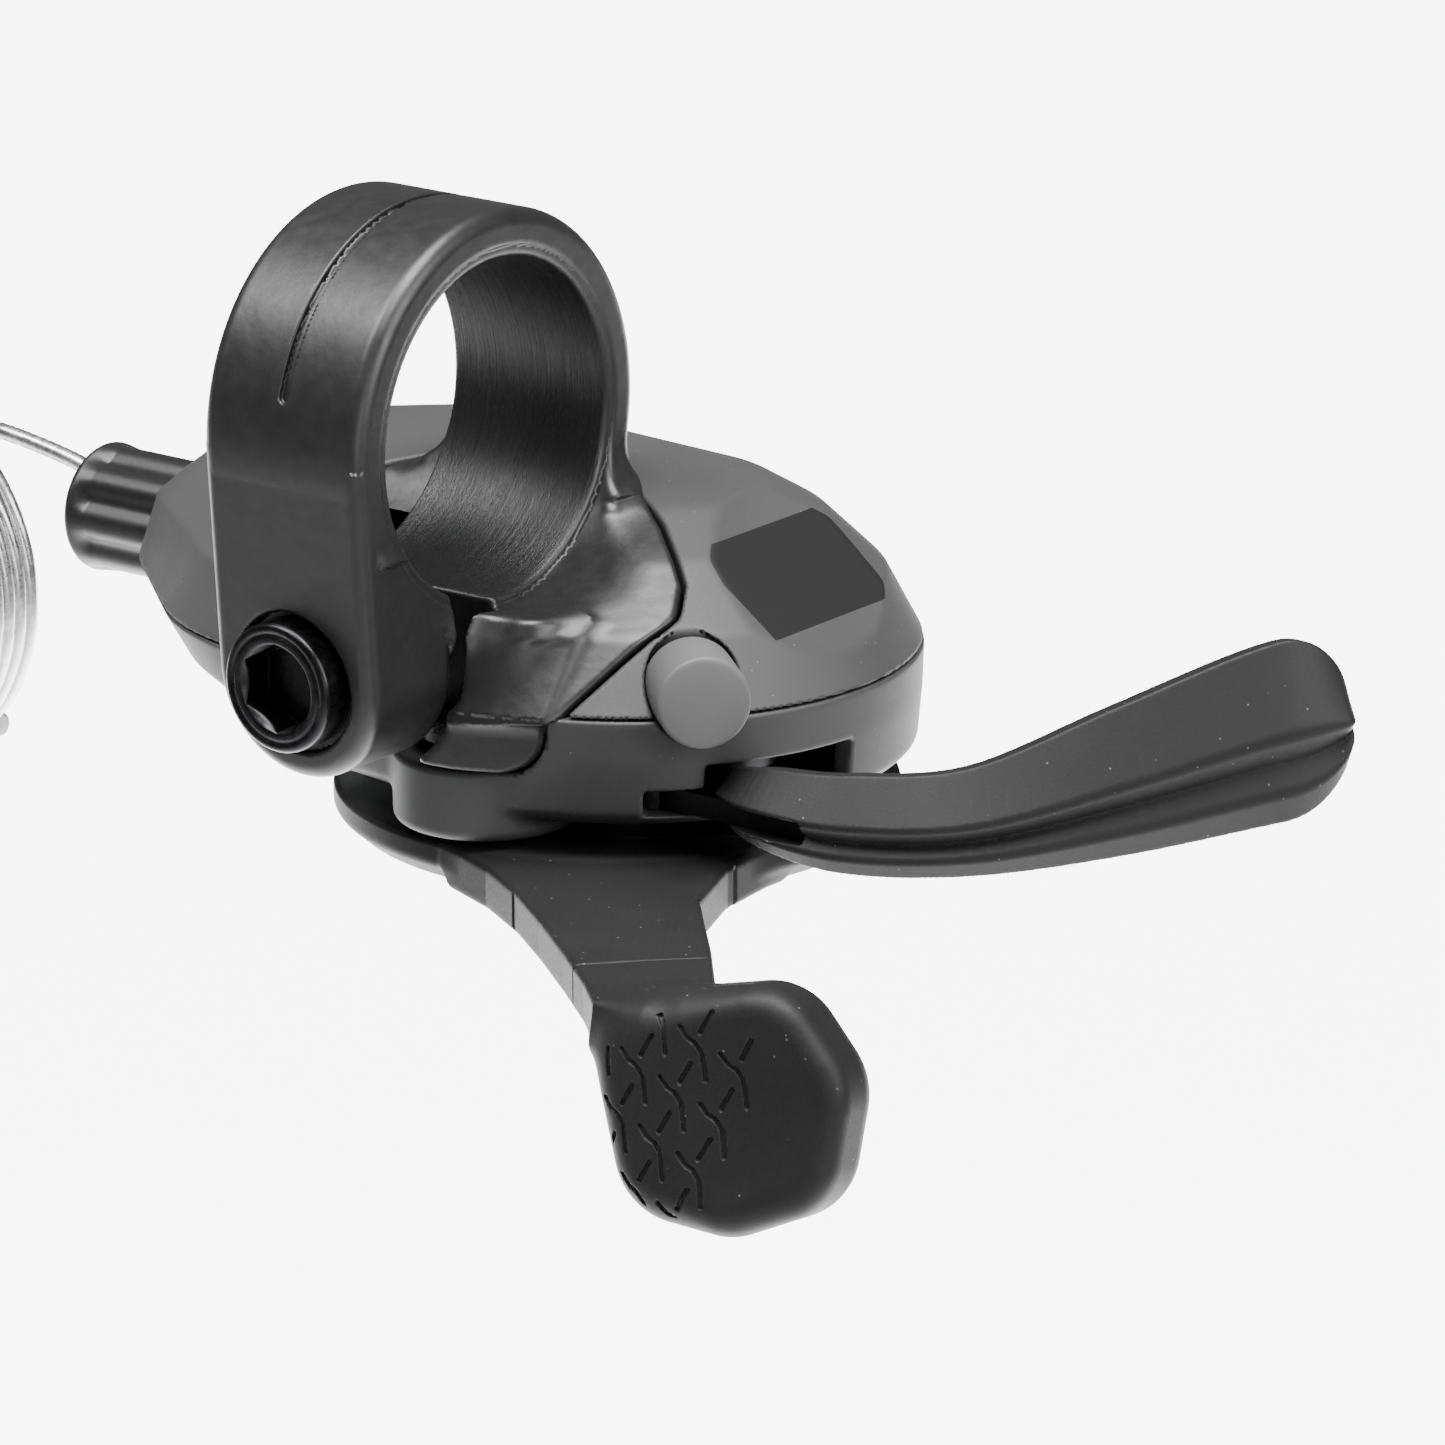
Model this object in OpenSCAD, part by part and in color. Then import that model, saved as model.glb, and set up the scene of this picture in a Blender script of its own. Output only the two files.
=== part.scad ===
// Trigger shifter for a bicycle handlebar, right hand.
// Origin: centre of the clamp bore. +X runs outboard along the bar, +Y forward, +Z up.

/* [Clamp bracket] */
// Radius of the handlebar bore
bar_r = 11.1; // [11.05:0.05:11.2]
// Outside radius of the clamp ring
ring_r = 14.2; // [14:0.1:14.6]
// Width of the clamp ring along the bar
ring_w = 13; // [12:0.5:13.5]
// Gap of the slit that closes when the bolt is tightened
slit_w = 3.9; // [3:0.1:3.9]
// Depth of the bolt axis under the bar axis
bolt_drop = 14.9; // [14.8:0.1:15.2]

/* [Housing] */
// Height of the joint between the two covers
parting_z = -17.4; // [-17.5:0.1:-17.2]
// Depth of the lower cover
lower_h = 7.6; // [7.5:0.1:7.8]
// Radius of the outboard end of the housing
end_r = 19.3; // [19:0.1:19.6]
// Wall of both covers
wall = 1.6; // [1.4:0.1:1.8]

/* [Levers] */
// Thickness of the thumb lever arm
arm_t = 3; // [2.6:0.1:3.2]
// Thickness of the steel plates in the mechanism
plate_t = 1.5; // [1.2:0.1:1.5]
// Radius of the main axle
axle_r = 2.5; // [2.3:0.1:2.5]

/* [Cable] */
// Radius of the inner wire
wire_r = 0.6; // [0.55:0.05:0.6]
// Radius at which the wire lies on the pulley
wind_r = 9; // [8.8:0.1:9.1]
// Outside radius of the barrel adjuster
barrel_r = 4.8; // [4.5:0.1:5]

/* [Hidden] */
$fn = 64;
eps = 0.01;
running = 0.06;
bar_clear = 0.6;

// housing plan: three arcs on one centre line
pod_y = 14.8;
end_x = 5.5;
mid_x = -11;
mid_r = end_r - 0.7;
lower_mid_x = -9;
slice_n = 10;
base_nose_r = 5.5;
nose_x = -25;
nose_r = 9.5;
floor_z = parting_z - lower_h;
floor_t = 0.9;
cavity_z = floor_z + floor_t;

// lever axis and the levels of the mechanism, from the bottom up
axle_x = 4.5;
axle_y = 14.5;
boss_z = floor_z - 1.3;
arm_top = boss_z - 0.7;
arm_bottom = arm_top - arm_t;
collar_r = 5;
axle_top = -9.7;
drive_z = cavity_z + 0.2;
ratchet_z = drive_z + plate_t + 0.2;
base_z = ratchet_z + plate_t + 0.2;
pulley_z = base_z + plate_t + 0.3;
wire_z = -16.5;
pulley_top = wire_z + 2.1;
pulley_r = wind_r + 1.3;
hub_r = 4.6;
ratchet_r = 10.4;
tooth_h = 1;
teeth = 24;
drive_reach = 13.3;
drive_angle = 150;

// bracket screw and its boss
lug_x = 4.8;
lug_y = 0.4;
lug_r = 6.1;
lug_z = base_z - 0.8;
screw_r = 2.1;
thread_r = screw_r - 0.4;

// bracket foot on the housing, from above and from the front
foot_plan = [[-13, -9], [16, -9], [16.8, 0], [16.6, 5.4], [15.4, 7.4], [11, 10.6], [6.6, 13],
    [-6.6, 13], [-9, 11.6], [-12, 8]];
foot_front = [[-13, -6], [17, -6], [17, -9.5], [16.2, -12.5], [14.4, -15.5], [13, -18.4], [-12, -18.4]];

// cable port plug: place, and its turn about the upright
plug_x = 21.2;
plug_y = 1.9;
plug_z = -15.8;
plug_turn = -41;

// thumb lever arm from above, and the round lobes of its pad
arm_plan = [[5, -4.2], [10, -6.2], [14.6, -8.9], [19, -12.1], [24, -16], [28.4, -19.6], [31.4, -22.4],
    [35.4, -22.4], [36.8, -17], [31, -10], [24.8, -3], [22.4, 3], [21.6, 10]];
pad_places = [[34, -20.4, -31.4], [38.4, -20.4, -28.8], [42.4, -19.6, -27.6], [45.6, -19.2, -31],
    [45.2, -20, -35], [40.6, -21.4, -36.9], [36.8, -21.6, -36.6]];

// sections of the release paddle: place, half height and half thickness
paddle = [
    [[24.2, 2.9, -22.3], 1.7, 1.6], [[31, 4, -22.6], 2.9, 2], [[38, 7.6, -22], 3.3, 2.2],
    [[44.5, 14.2, -19.8], 4.6, 2.4], [[50.4, 21.8, -17.6], 5.6, 2.4], [[52.8, 25, -17], 4.2, 2.2]];

// release lever and holding pawl
release_x = 15.5;
release_y = 4;
pin_r = 1.5;
pawl_pin_r = 1.2;
hold_x = 18.4;
hold_y = 9.6;
slot_z = drive_z - 0.1;
slot_h = 3.4;
slot_end = -4;
release_plan = [[15.6, 2.2], [19, 2.5], [22, 2.6], [27, 2.8], [29, 3], [29, 5.2], [24, 6.4], [16, 6.9]];
release_tail = [[13.6, 5.4], [17.4, 5.4], [16.6, 11.6], [15.6, 11.6]];

// barrel adjuster
barrel_x = -41;
barrel_y = pod_y + 0.2;
insert_x = -30.9;
insert_r = 3.1;
barrel_l = 9;
seat_r = 2.6;
seat_l = 5;
barrel_lobes = 8;

// where the wire leaves the insert, and where it meets the pulley
lead_bend = [insert_x + 3.7, barrel_y, wire_z];
lead_away = norm([lead_bend[0] - axle_x, barrel_y - axle_y]);
wrap_start = atan2(barrel_y - axle_y, lead_bend[0] - axle_x) + acos(wind_r / lead_away);
lead_end = [axle_x + wind_r * cos(wrap_start), axle_y + wind_r * sin(wrap_start), wire_z];

// route of the wire from the adjuster to the coil, and the coil
route = [
    [-34.6, 15, -16.5], [-36, 15, -16.4], [-38, 15.1, -15.9], [-40, 15.2, -15.1], [-42, 15.3, -14.4],
    [-44, 15.4, -13.9], [-47, 15.5, -13.4], [-50, 15.5, -13], [-53, 15.5, -12.8], [-56, 15.5, -12.7],
    [-60, 15.5, -12.6], [-64, 15.5, -12.6], [-68, 15.5, -12.6]
];
tube_sides = 8;
tie_t = 0.7;
coil_x = -68;
coil_y = 19.1;
coil_in = 7.5;
coil_out = 14.1;
coil_w = 7.2;
coil_z = -12.6 - wire_r - coil_out;

module at_axle(z) { translate([axle_x, axle_y, z]) children(); }
module at_barrel(x) { translate([x, barrel_y, wire_z]) rotate([0, 90, 0]) children(); }

// a ring of points, and the outline of the housing drawn in by an inset
function arc(x, y, r, a0, a1, n) =
    [for (i = [0:n]) [x + r * cos(a0 + (a1 - a0) * i / n), y + r * sin(a0 + (a1 - a0) * i / n)]];
function pod_points(ra, rb, rc, xb, xc, n) =
    let (a = asin((ra - rb) / (end_x - xb)), b = asin((rb - rc) / (xb - xc)))
    concat(
        arc(end_x, 0, ra, -90 - a, 90 + a, 2 * n),
        arc(xb, 0, rb, 90 + a, 90 + b, n / 2),
        arc(xc, 0, rc, 90 + b, 270 - b, n),
        arc(xb, 0, rb, 270 - b, 270 - a, n / 2));
module pod_slice(z, dy, ra, rb, rc, xc, xb = mid_x) {
    translate([0, pod_y + dy, z]) linear_extrude(eps) polygon(pod_points(ra, rb, rc, xb, xc, slice_n));
}
module pod_plan(z, h, inset) {
    translate([0, pod_y, z])
        linear_extrude(h)
            polygon(pod_points(end_r - inset, mid_r - inset, nose_r - inset, mid_x, nose_x, 16));
}

// dome of the upper cover, drawn in by an inset on every side
module dome(inset) {
    hull() {
        pod_slice(parting_z, 0, end_r - inset, mid_r - inset, nose_r - inset, nose_x);
        pod_slice(-13 - inset / 2, 0.8, 16.4 - inset, 17 - inset, 8.6 - inset, nose_x);
        pod_slice(-9.5 - inset, 2, 11.8 - inset, 13.2 - inset, 6 - inset, -23.5);
        pod_slice(-7.3 - inset, 3, 7.2 - inset, 8.6 - inset, 2.6 - inset, -20);
        pod_slice(-6.6 - inset, 3.4, 3.6 - inset / 2, 5.2 - inset, 1.8 - inset, -16);
    }
}
module bar_space(r, w) { rotate([0, 90, 0]) cylinder(r = r, h = w, center = true); }

// the part of the dome that the bracket foot covers
module foot_zone(grow) {
    intersection() {
        translate([0, 0, parting_z - 1]) linear_extrude(12) offset(delta = grow) polygon(foot_plan);
        translate([0, 30, 0]) rotate([90, 0, 0]) linear_extrude(50) offset(delta = grow) polygon(foot_front);
    }
}

// round lug under the bracket that takes the bracket screw, and the wing at its outboard side
module lug(z, h, r) { translate([lug_x, lug_y, z]) cylinder(r = r, h = h); }
module lug_wing(z, h, grow) {
    translate([0, 0, z]) linear_extrude(h) offset(delta = grow)
        polygon([[lug_x, lug_y - lug_r + 0.4], [9.6, -5.4], [12.4, -4.2], [11.4, 1.6], [lug_x, 3]]);
}

module circle_below_bolt() { translate([0, -bolt_drop]) circle(r = ring_w / 2 + 0.7); }
module clamp_bracket() {
    ear_in = -0.9 - slit_w;
    color([0.06, 0.06, 0.065]) difference() {
        union() {
            bar_space(ring_r, ring_w);
            // ear with the bolt
            intersection() {
                translate([0, ear_in, 0]) rotate([90, 0, 0]) linear_extrude(12) union() {
                    translate([-ring_w / 2, -bolt_drop]) square([ring_w, bolt_drop]);
                    translate([0, -bolt_drop]) circle(r = ring_w / 2);
                }
                rotate([90, 0, 90]) translate([0, 0, -10]) linear_extrude(20)
                    polygon([[-ring_r, 0], [-12.5, -24], [0, -24], [0, 0]]);
            }
            // block that the bolt threads into
            translate([-ring_w / 2, -0.9, lug_z]) cube([ring_w, 4.3, -11 - lug_z]);
            difference() {
                union() {
                    lug(lug_z, parting_z - lug_z + 2, lug_r);
                    lug_wing(lug_z, parting_z - lug_z, 0);
                }
                translate([0, -0.9, 0]) rotate([90, 0, 0]) linear_extrude(9) circle_below_bolt();
            }
            // foot over the housing
            difference() {
                intersection() {
                    dome(0);
                    foot_zone(0);
                }
                dome(wall + 0.3);
            }
        }
        bar_space(bar_r, ring_w + 2);
        difference() {
            bar_space(bar_r + bar_clear, 60);
            bar_space(bar_r + bar_clear + 1, ring_w);
        }
        // slit, which runs out round the foot of the ear
        translate([0, -0.9, 0]) rotate([90, 0, 0]) linear_extrude(slit_w) {
            translate([-8, -bolt_drop]) square([16, 6]);
            circle_below_bolt();
        }
        // bolt hole, counterbore and thread
        translate([0, 4, -bolt_drop]) rotate([90, 0, 0]) cylinder(r = 2.5, h = 22);
        translate([0, -12.4, -bolt_drop]) rotate([90, 0, 0]) cylinder(r = 4.65, h = 4);
        // bracket screw thread
        lug(lug_z - 1, 4.5, thread_r);
        // seat of the base plate
        translate([0, 0, base_z - 0.1]) linear_extrude(plate_t + 0.2) tab_plan(0.1);
        // decorative groove round the middle
        rotate([0, 90, 0]) rotate([0, 0, 120]) rotate_extrude(angle = 152)
            translate([ring_r - 0.45, -0.35]) square([1, 0.7]);
        // room for the pulley and the ratchet wheel
        at_axle(pulley_z - 1) cylinder(r = pulley_r + 0.4, h = 5.6);
        at_axle(lug_z - 1) cylinder(r = ratchet_r + 0.5, h = 3);
    }
}

module clamp_bolt() {
    color([0.1, 0.1, 0.11]) translate([0, 0, -bolt_drop]) rotate([-90, 0, 0]) difference() {
        union() {
            translate([0, 0, -14.9]) cylinder(r1 = 3.95, r2 = 4.25, h = 0.3);
            translate([0, 0, -14.6]) cylinder(r = 4.25, h = 2.2);
            translate([0, 0, -12.4]) cylinder(r = 2.5, h = 15.6);
        }
        translate([0, 0, -15]) rotate([0, 0, 30]) cylinder(r = 2.89, h = 2.4, $fn = 6);
        translate([0, 0, -15]) cylinder(r1 = 3.1, r2 = 2.4, h = 0.6);
    }
}

module bracket_screw() {
    color([0.12, 0.12, 0.13]) difference() {
        union() {
            lug(boss_z - 0.5, 1.5, screw_r);
            lug(boss_z + 1, lug_z + 3 - boss_z - 1, thread_r);
        }
        translate([lug_x, lug_y, boss_z - 0.6]) cylinder(r = 1.15, h = 1.2, $fn = 6);
    }
}

module top_cover() {
    color([0.17, 0.17, 0.18]) difference() {
        dome(0);
        difference() {
            translate([0, 0, -eps]) dome(wall);
            bar_space(bar_r + bar_clear + 1.5, 80);
        }
        bar_space(bar_r + bar_clear, 80);
        bar_space(ring_r + 0.15, ring_w + 0.3);
        foot_zone(0.15);
        translate([-60, pod_y - 12, parting_z - 1]) cube([60 + nose_x - 6.4, 24, 12]);
        barrel_room();
        plug_hole();
    }
}
// room in both covers for the barrel adjuster, its insert and the flange of the insert
module barrel_room() {
    at_barrel(barrel_x) cylinder(r = barrel_r + 0.4, h = barrel_l + 0.4);
    at_barrel(barrel_x) cylinder(r = insert_r + 0.1, h = insert_x - barrel_x + 6);
    at_barrel(insert_x + 2.3) cylinder(r = insert_r + 0.9, h = 1.2);
}

// small round opening across the joint of the covers, closed by the plug
module at_plug() {
    translate([plug_x, plug_y, plug_z]) rotate([0, 0, plug_turn]) rotate([0, 90, 0]) children();
}
module plug_hole() { at_plug() translate([0, 0, -5]) cylinder(r = 2.3, h = 8); }

module lower_outer() {
    hull() {
        pod_slice(parting_z - eps, 0, end_r, mid_r, nose_r, nose_x);
        pod_slice(parting_z - 3, 0, end_r - 0.1, mid_r - 0.4, 8, -23.4, lower_mid_x);
        pod_slice(floor_z + 1.2, 0, end_r - 0.4, 17.8, 12, -9, -2.4);
        pod_slice(floor_z, 0, end_r - 1.4, 16.6, 11, -8.6, -2.4);
    }
}
module lower_cavity() {
    hull() {
        pod_slice(parting_z + 1, 0, end_r - wall, mid_r - wall, nose_r - wall, nose_x);
        pod_slice(parting_z - 3, 0, end_r - wall, mid_r - wall - 0.4, 8 - wall, -23, lower_mid_x);
        pod_slice(cavity_z, 0, end_r - wall - 0.4, 16.2, 10.4, -9, -2.4);
    }
}
module post_places() {
    for (p = [[-14, 9], [-14, 20.6], [13.6, 28.6]]) translate([p[0], p[1], 0]) children();
}
module bottom_cover() {
    color([0.15, 0.15, 0.16]) difference() {
        union() {
            difference() {
                union() {
                    lower_outer();
                    lug(boss_z + 0.8, lug_z - boss_z - 0.8, lug_r);
                    translate([lug_x, lug_y, boss_z]) cylinder(r1 = lug_r - 0.9, r2 = lug_r, h = 0.8);
                }
                difference() {
                    lower_cavity();
                    lug(cavity_z - 1, 30, 3.1);
                }
            }
            intersection() {
                post_places()
                    translate([0, 0, cavity_z - 0.2])
                        cylinder(r = 2.2, h = base_z - cavity_z + 0.2);
                pod_plan(floor_z, 20, 0.5);
            }
        }
        lug(lug_z, 6, lug_r + 0.15);
        lug_wing(lug_z, 6, 0.15);
        lug(boss_z - 1, 12, thread_r + 0.1);
        lug(boss_z - 1, 2, screw_r + 0.1);
        translate([-8, -6.4, lug_z]) cube([18.8, 6, 8]);
        at_axle(floor_z - 1) cylinder(r = collar_r + 0.4, h = 4);
        release_slot();
        post_places() translate([0, 0, floor_z - 1]) cylinder(r = 1, h = 8);
        post_places() translate([0, 0, floor_z - 1]) cylinder(r = 1.9, h = 2);
        barrel_room();
        plug_hole();
    }
}
// window in the wall at the rear outboard corner
module release_slot() {
    slot_sweep(-50, plate_t + 0.3);
    slot_sweep(-38, slot_h);
}
module slot_sweep(start, h) {
    translate([end_x, pod_y, slot_z]) rotate([0, 0, start]) rotate_extrude(angle = slot_end - start)
        translate([end_r - 3, 0]) square([6, h]);
}

module cable_port_plug() {
    color([0.3, 0.3, 0.31]) at_plug() union() {
        translate([0, 0, -1.6]) cylinder(r = 2.2, h = 3);
        translate([0, 0, 0.6]) cylinder(r1 = 3.05, r2 = 2.8, h = 0.8);
        translate([0, 0, 1.4]) cylinder(r1 = 2.8, r2 = 1.6, h = 0.35);
    }
}

module cover_screws() {
    color([0.5, 0.5, 0.52]) post_places() difference() {
        union() {
            translate([0, 0, floor_z + 0.1]) cylinder(r = 1.8, h = 0.9);
            translate([0, 0, floor_z + 1]) cylinder(r = 1, h = base_z + plate_t - floor_z - 1);
        }
        translate([-0.3, -1.2, floor_z]) cube([0.6, 2.4, 0.6]);
        translate([-1.2, -0.3, floor_z]) cube([2.4, 0.6, 0.6]);
    }
}

// tab of the base plate that the bracket foot takes
module tab_plan(grow) {
    translate([lug_x, lug_y]) circle(r = 4.4 + grow);
    translate([lug_x - 4.4 - grow, lug_y]) square([8.8 + 2 * grow, 8]);
}
module base_plate() {
    color([0.62, 0.63, 0.65]) difference() {
        union() {
            intersection() {
                translate([0, pod_y, base_z]) linear_extrude(plate_t)
                    polygon(pod_points(
                        end_r - wall - 0.5, mid_r - wall - 0.9, base_nose_r, lower_mid_x, nose_x + 3, 16));
                translate([-20, 4.9, base_z - 1]) cube([50, 40, 5]);
            }
            translate([0, 0, base_z]) linear_extrude(plate_t) tab_plan(0);
        }
        at_axle(base_z - 1) cylinder(r = hub_r + 0.3, h = 5);
        lug(base_z - 1, 5, thread_r + 0.1);
        post_places() translate([0, 0, base_z - 1]) cylinder(r = 1, h = 5);
        translate([hold_x, hold_y, base_z - 1]) cylinder(r = pawl_pin_r, h = 5);
        translate([release_x, release_y, base_z - 1]) cylinder(r = pin_r, h = 5);
    }
}

module main_axle() {
    color([0.7, 0.7, 0.72]) at_axle(0) union() {
        translate([0, 0, arm_bottom - 1.5]) cylinder(r1 = 3.8, r2 = 4.2, h = 0.3);
        translate([0, 0, arm_bottom - 1.2]) cylinder(r = 4.2, h = 0.9);
        translate([0, 0, arm_bottom - 0.3]) cylinder(r = axle_r, h = axle_top - arm_bottom + 0.3);
    }
}
module lever_washer() {
    color([0.8, 0.8, 0.78]) at_axle(arm_bottom - 0.3) difference() {
        cylinder(r = 5.6, h = 0.25);
        translate([0, 0, -1]) cylinder(r = axle_r, h = 3);
    }
}
module axle_nut() {
    color([0.75, 0.75, 0.76]) at_axle(-11.3) difference() {
        cylinder(r = 3.7, h = 1.4, $fn = 6);
        translate([0, 0, -1]) cylinder(r = axle_r, h = 4);
    }
}
module spring_plate() {
    color([0.6, 0.6, 0.62]) at_axle(-12) difference() {
        cylinder(r = 5, h = 0.7);
        translate([0, 0, -1]) cylinder(r = axle_r, h = 4);
    }
}

module cable_pulley() {
    color([0.82, 0.82, 0.8]) at_axle(0) difference() {
        union() {
            translate([0, 0, ratchet_z]) cylinder(r = hub_r, h = pulley_z - ratchet_z + 1);
            difference() {
                translate([0, 0, pulley_z]) cylinder(r = pulley_r, h = pulley_top - pulley_z);
                rotate_extrude() polygon([
                    [pulley_r + 1, wire_z - 0.9], [pulley_r, wire_z - 0.9], [wind_r - wire_r, wire_z - 0.6],
                    [wind_r - wire_r, wire_z + 0.6], [pulley_r, wire_z + 0.9], [pulley_r + 1, wire_z + 0.9]]);
            }
        }
        translate([0, 0, -40]) cylinder(r = axle_r + running, h = 40);
        rotate([0, 0, 40]) translate([wind_r, 0, wire_z - 1.8]) cylinder(r = 1.9, h = 3.4);
    }
}
module ratchet_wheel() {
    color([0.68, 0.68, 0.7]) at_axle(ratchet_z) difference() {
        linear_extrude(plate_t) polygon([
            for (i = [0:teeth - 1], k = [0, 1])
                let (a = (i + k * 0.85) * 360 / teeth, r = k == 0 ? ratchet_r - tooth_h : ratchet_r)
                [r * cos(a), r * sin(a)]]);
        translate([0, 0, -1]) cylinder(r = hub_r, h = 4);
    }
}

// flat spiral of strip: the turns are rings joined by one radial leaf
module spiral_spring(r_in, r_out, h) {
    pitch = 1.1;
    strip = 0.35;
    for (r = [r_in:pitch:r_out]) difference() {
        cylinder(r = r + strip, h = h);
        translate([0, 0, -1]) cylinder(r = r, h = h + 2);
    }
    translate([r_in + strip / 2, -strip / 2, 0]) cube([r_out - r_in, strip, h]);
}
module pulley_spring() {
    color([0.55, 0.55, 0.57]) at_axle(pulley_top + 0.3) spiral_spring(3.4, 7.4, 1.7);
}
module thumb_lever_spring() {
    color([0.55, 0.55, 0.57]) at_axle(floor_z - 1.8) spiral_spring(5.7, 7, 1.5);
}

// coil of round wire round an upright pin
module pin_spring(x, y, z, r, turns) {
    for (i = [0:turns - 1]) translate([x, y, z + 0.2 + 0.42 * i])
        rotate_extrude() translate([r, 0]) circle(r = 0.2, $fn = 16);
    translate([x + r, y, z]) cylinder(r = 0.18, h = 0.4 + 0.42 * (turns - 1), $fn = 16);
}

module thumb_lever_arm() {
    color([0.12, 0.12, 0.125]) difference() {
        union() {
            at_axle(arm_bottom + 1.4) cylinder(r = 18.8, h = arm_t - 1.4);
            at_axle(arm_bottom) cylinder(r1 = 17.2, r2 = 18.8, h = 1.4);
            translate([0, 0, arm_bottom]) linear_extrude(arm_t) polygon(arm_plan);
            at_axle(arm_top - eps) cylinder(r = collar_r, h = drive_z + plate_t - arm_top);
        }
        at_axle(arm_bottom - 1) cylinder(r = axle_r + running, h = 20);
    }
}
module thumb_lever_pad() {
    color([0.14, 0.14, 0.145]) difference() {
        hull() for (p = pad_places) translate(p) sphere(r = 3.2, $fn = 32);
        translate([0, 0, arm_bottom]) linear_extrude(arm_t) polygon(arm_plan);
    }
}

module drive_plate() {
    reach = [drive_reach * cos(drive_angle), drive_reach * sin(drive_angle)];
    color([0.66, 0.66, 0.68]) at_axle(drive_z) difference() {
        union() {
            cylinder(r = 8, h = plate_t);
            linear_extrude(plate_t) hull() {
                circle(r = 4);
                translate(reach) circle(r = 2.6);
            }
        }
        translate([0, 0, -1]) cylinder(r = collar_r, h = 4);
        translate([reach[0], reach[1], -1]) cylinder(r = pawl_pin_r, h = 4);
    }
}
module at_drive_pawl(z) {
    translate([axle_x + drive_reach * cos(drive_angle), axle_y + drive_reach * sin(drive_angle), z])
        children();
}
module pawl(tip, nose) {
    difference() {
        union() {
            cylinder(r = 2.3, h = plate_t);
            linear_extrude(plate_t)
                polygon([[-2.1, 0.9], [-2.1, -0.9], [tip[0] - nose, tip[1]], tip, [2.1, 0]]);
        }
        translate([0, 0, -1]) cylinder(r = pawl_pin_r + running, h = 4);
    }
}
module drive_pawl() { color([0.6, 0.6, 0.62]) at_drive_pawl(ratchet_z) pawl([0.7, -7.2], 1.6); }
module drive_pawl_pin() {
    color([0.75, 0.75, 0.77]) at_drive_pawl(drive_z)
        cylinder(r = pawl_pin_r, h = ratchet_z - drive_z + plate_t);
}

module release_lever_plate() {
    color([0.6, 0.6, 0.62]) difference() {
        translate([0, 0, drive_z]) linear_extrude(plate_t) union() {
            translate([release_x, release_y]) circle(r = 2.5);
            polygon(release_plan);
            polygon(release_tail);
        }
        translate([release_x, release_y, drive_z - 1]) cylinder(r = pin_r + running, h = 5);
    }
}
module release_pin() {
    color([0.75, 0.75, 0.77]) translate([release_x, release_y, drive_z])
        cylinder(r = pin_r, h = base_z + plate_t - drive_z);
}

module paddle_section(s) {
    for (k = [-1, 1]) translate(s[0] + [0, 0, k * (s[1] - s[2])]) sphere(r = s[2], $fn = 20);
}
module release_lever_paddle() {
    color([0.1, 0.1, 0.105]) difference() {
        for (i = [0:len(paddle) - 2]) hull() {
            paddle_section(paddle[i]);
            paddle_section(paddle[i + 1]);
        }
        translate([20, -2, drive_z]) cube([9, 12, plate_t]);
    }
}

module holding_pawl() {
    color([0.6, 0.6, 0.62]) translate([hold_x, hold_y, ratchet_z]) pawl([-3.3, 7.2], 0.4);
}
module holding_pawl_pin() {
    color([0.75, 0.75, 0.77]) translate([hold_x, hold_y, ratchet_z])
        cylinder(r = pawl_pin_r, h = base_z + plate_t - ratchet_z);
}
module release_spring() {
    color([0.6, 0.6, 0.6]) pin_spring(release_x, release_y, drive_z + plate_t + 0.1, 2.1, 3);
}
module holding_pawl_spring() {
    color([0.6, 0.6, 0.6]) pin_spring(hold_x, hold_y, base_z + plate_t, 1.6, 3);
}

module barrel_adjuster() {
    color([0.11, 0.11, 0.115]) at_barrel(barrel_x) difference() {
        union() {
            cylinder(r1 = barrel_r - 1.6, r2 = barrel_r - 0.5, h = 1.4);
            translate([0, 0, 1.4]) cylinder(r = barrel_r - 0.5, h = barrel_l - 1.4);
            translate([0, 0, barrel_l - 1]) cylinder(r = 2, h = 4);
            for (i = [0:barrel_lobes - 1]) rotate([0, 0, i * 360 / barrel_lobes])
                translate([barrel_r - 1.3, 0, 1.9]) cylinder(r = 1.3, h = barrel_l - 2.2);
        }
        translate([0, 0, -1]) cylinder(r = seat_r, h = seat_l + 1);
        translate([0, 0, -1]) cylinder(r = wire_r + 0.15, h = 20);
    }
}
module adjuster_insert() {
    color([0.75, 0.62, 0.35]) at_barrel(insert_x) difference() {
        union() {
            cylinder(r = insert_r, h = 3.4);
            translate([0, 0, 2.4]) cylinder(r = insert_r + 0.8, h = 1);
        }
        translate([0, 0, -1]) cylinder(r = 2 + running, h = 4.2);
        translate([0, 0, -1]) cylinder(r = wire_r + 0.2, h = 8);
    }
}
module adjuster_spring() {
    color([0.6, 0.6, 0.6]) at_barrel(-31.9) difference() {
        cylinder(r = 2.7, h = 0.9);
        translate([0, 0, -1]) cylinder(r = 2.25, h = 4);
    }
}

// a round tube swept along points, with one ring at each point
function unit(v) = v / norm(v);
function along(p, i) = unit(p[min(i + 1, len(p) - 1)] - p[max(i - 1, 0)]);
function side(t) = unit(cross(t, [0.1, 0.2, 1]));
function ring_at(c, t, r, n) =
    let (a = side(t), b = cross(t, a), step = 360 / n)
    [for (k = [0:n - 1]) c + r * (a * cos(k * step) + b * sin(k * step))];
module tube(p, r, n) {
    rows = len(p);
    pts = [for (i = [0:rows - 1]) each ring_at(p[i], along(p, i), r, n)];
    sides = [for (i = [0:rows - 2], k = [0:n - 1])
        [i * n + k, i * n + (k + 1) % n, (i + 1) * n + (k + 1) % n, (i + 1) * n + k]];
    first = [for (k = [n - 1:-1:0]) k];
    last = [for (k = [0:n - 1]) (rows - 1) * n + k];
    polyhedron(points = pts, faces = concat([first], sides, [last]), convexity = 4);
}
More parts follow.
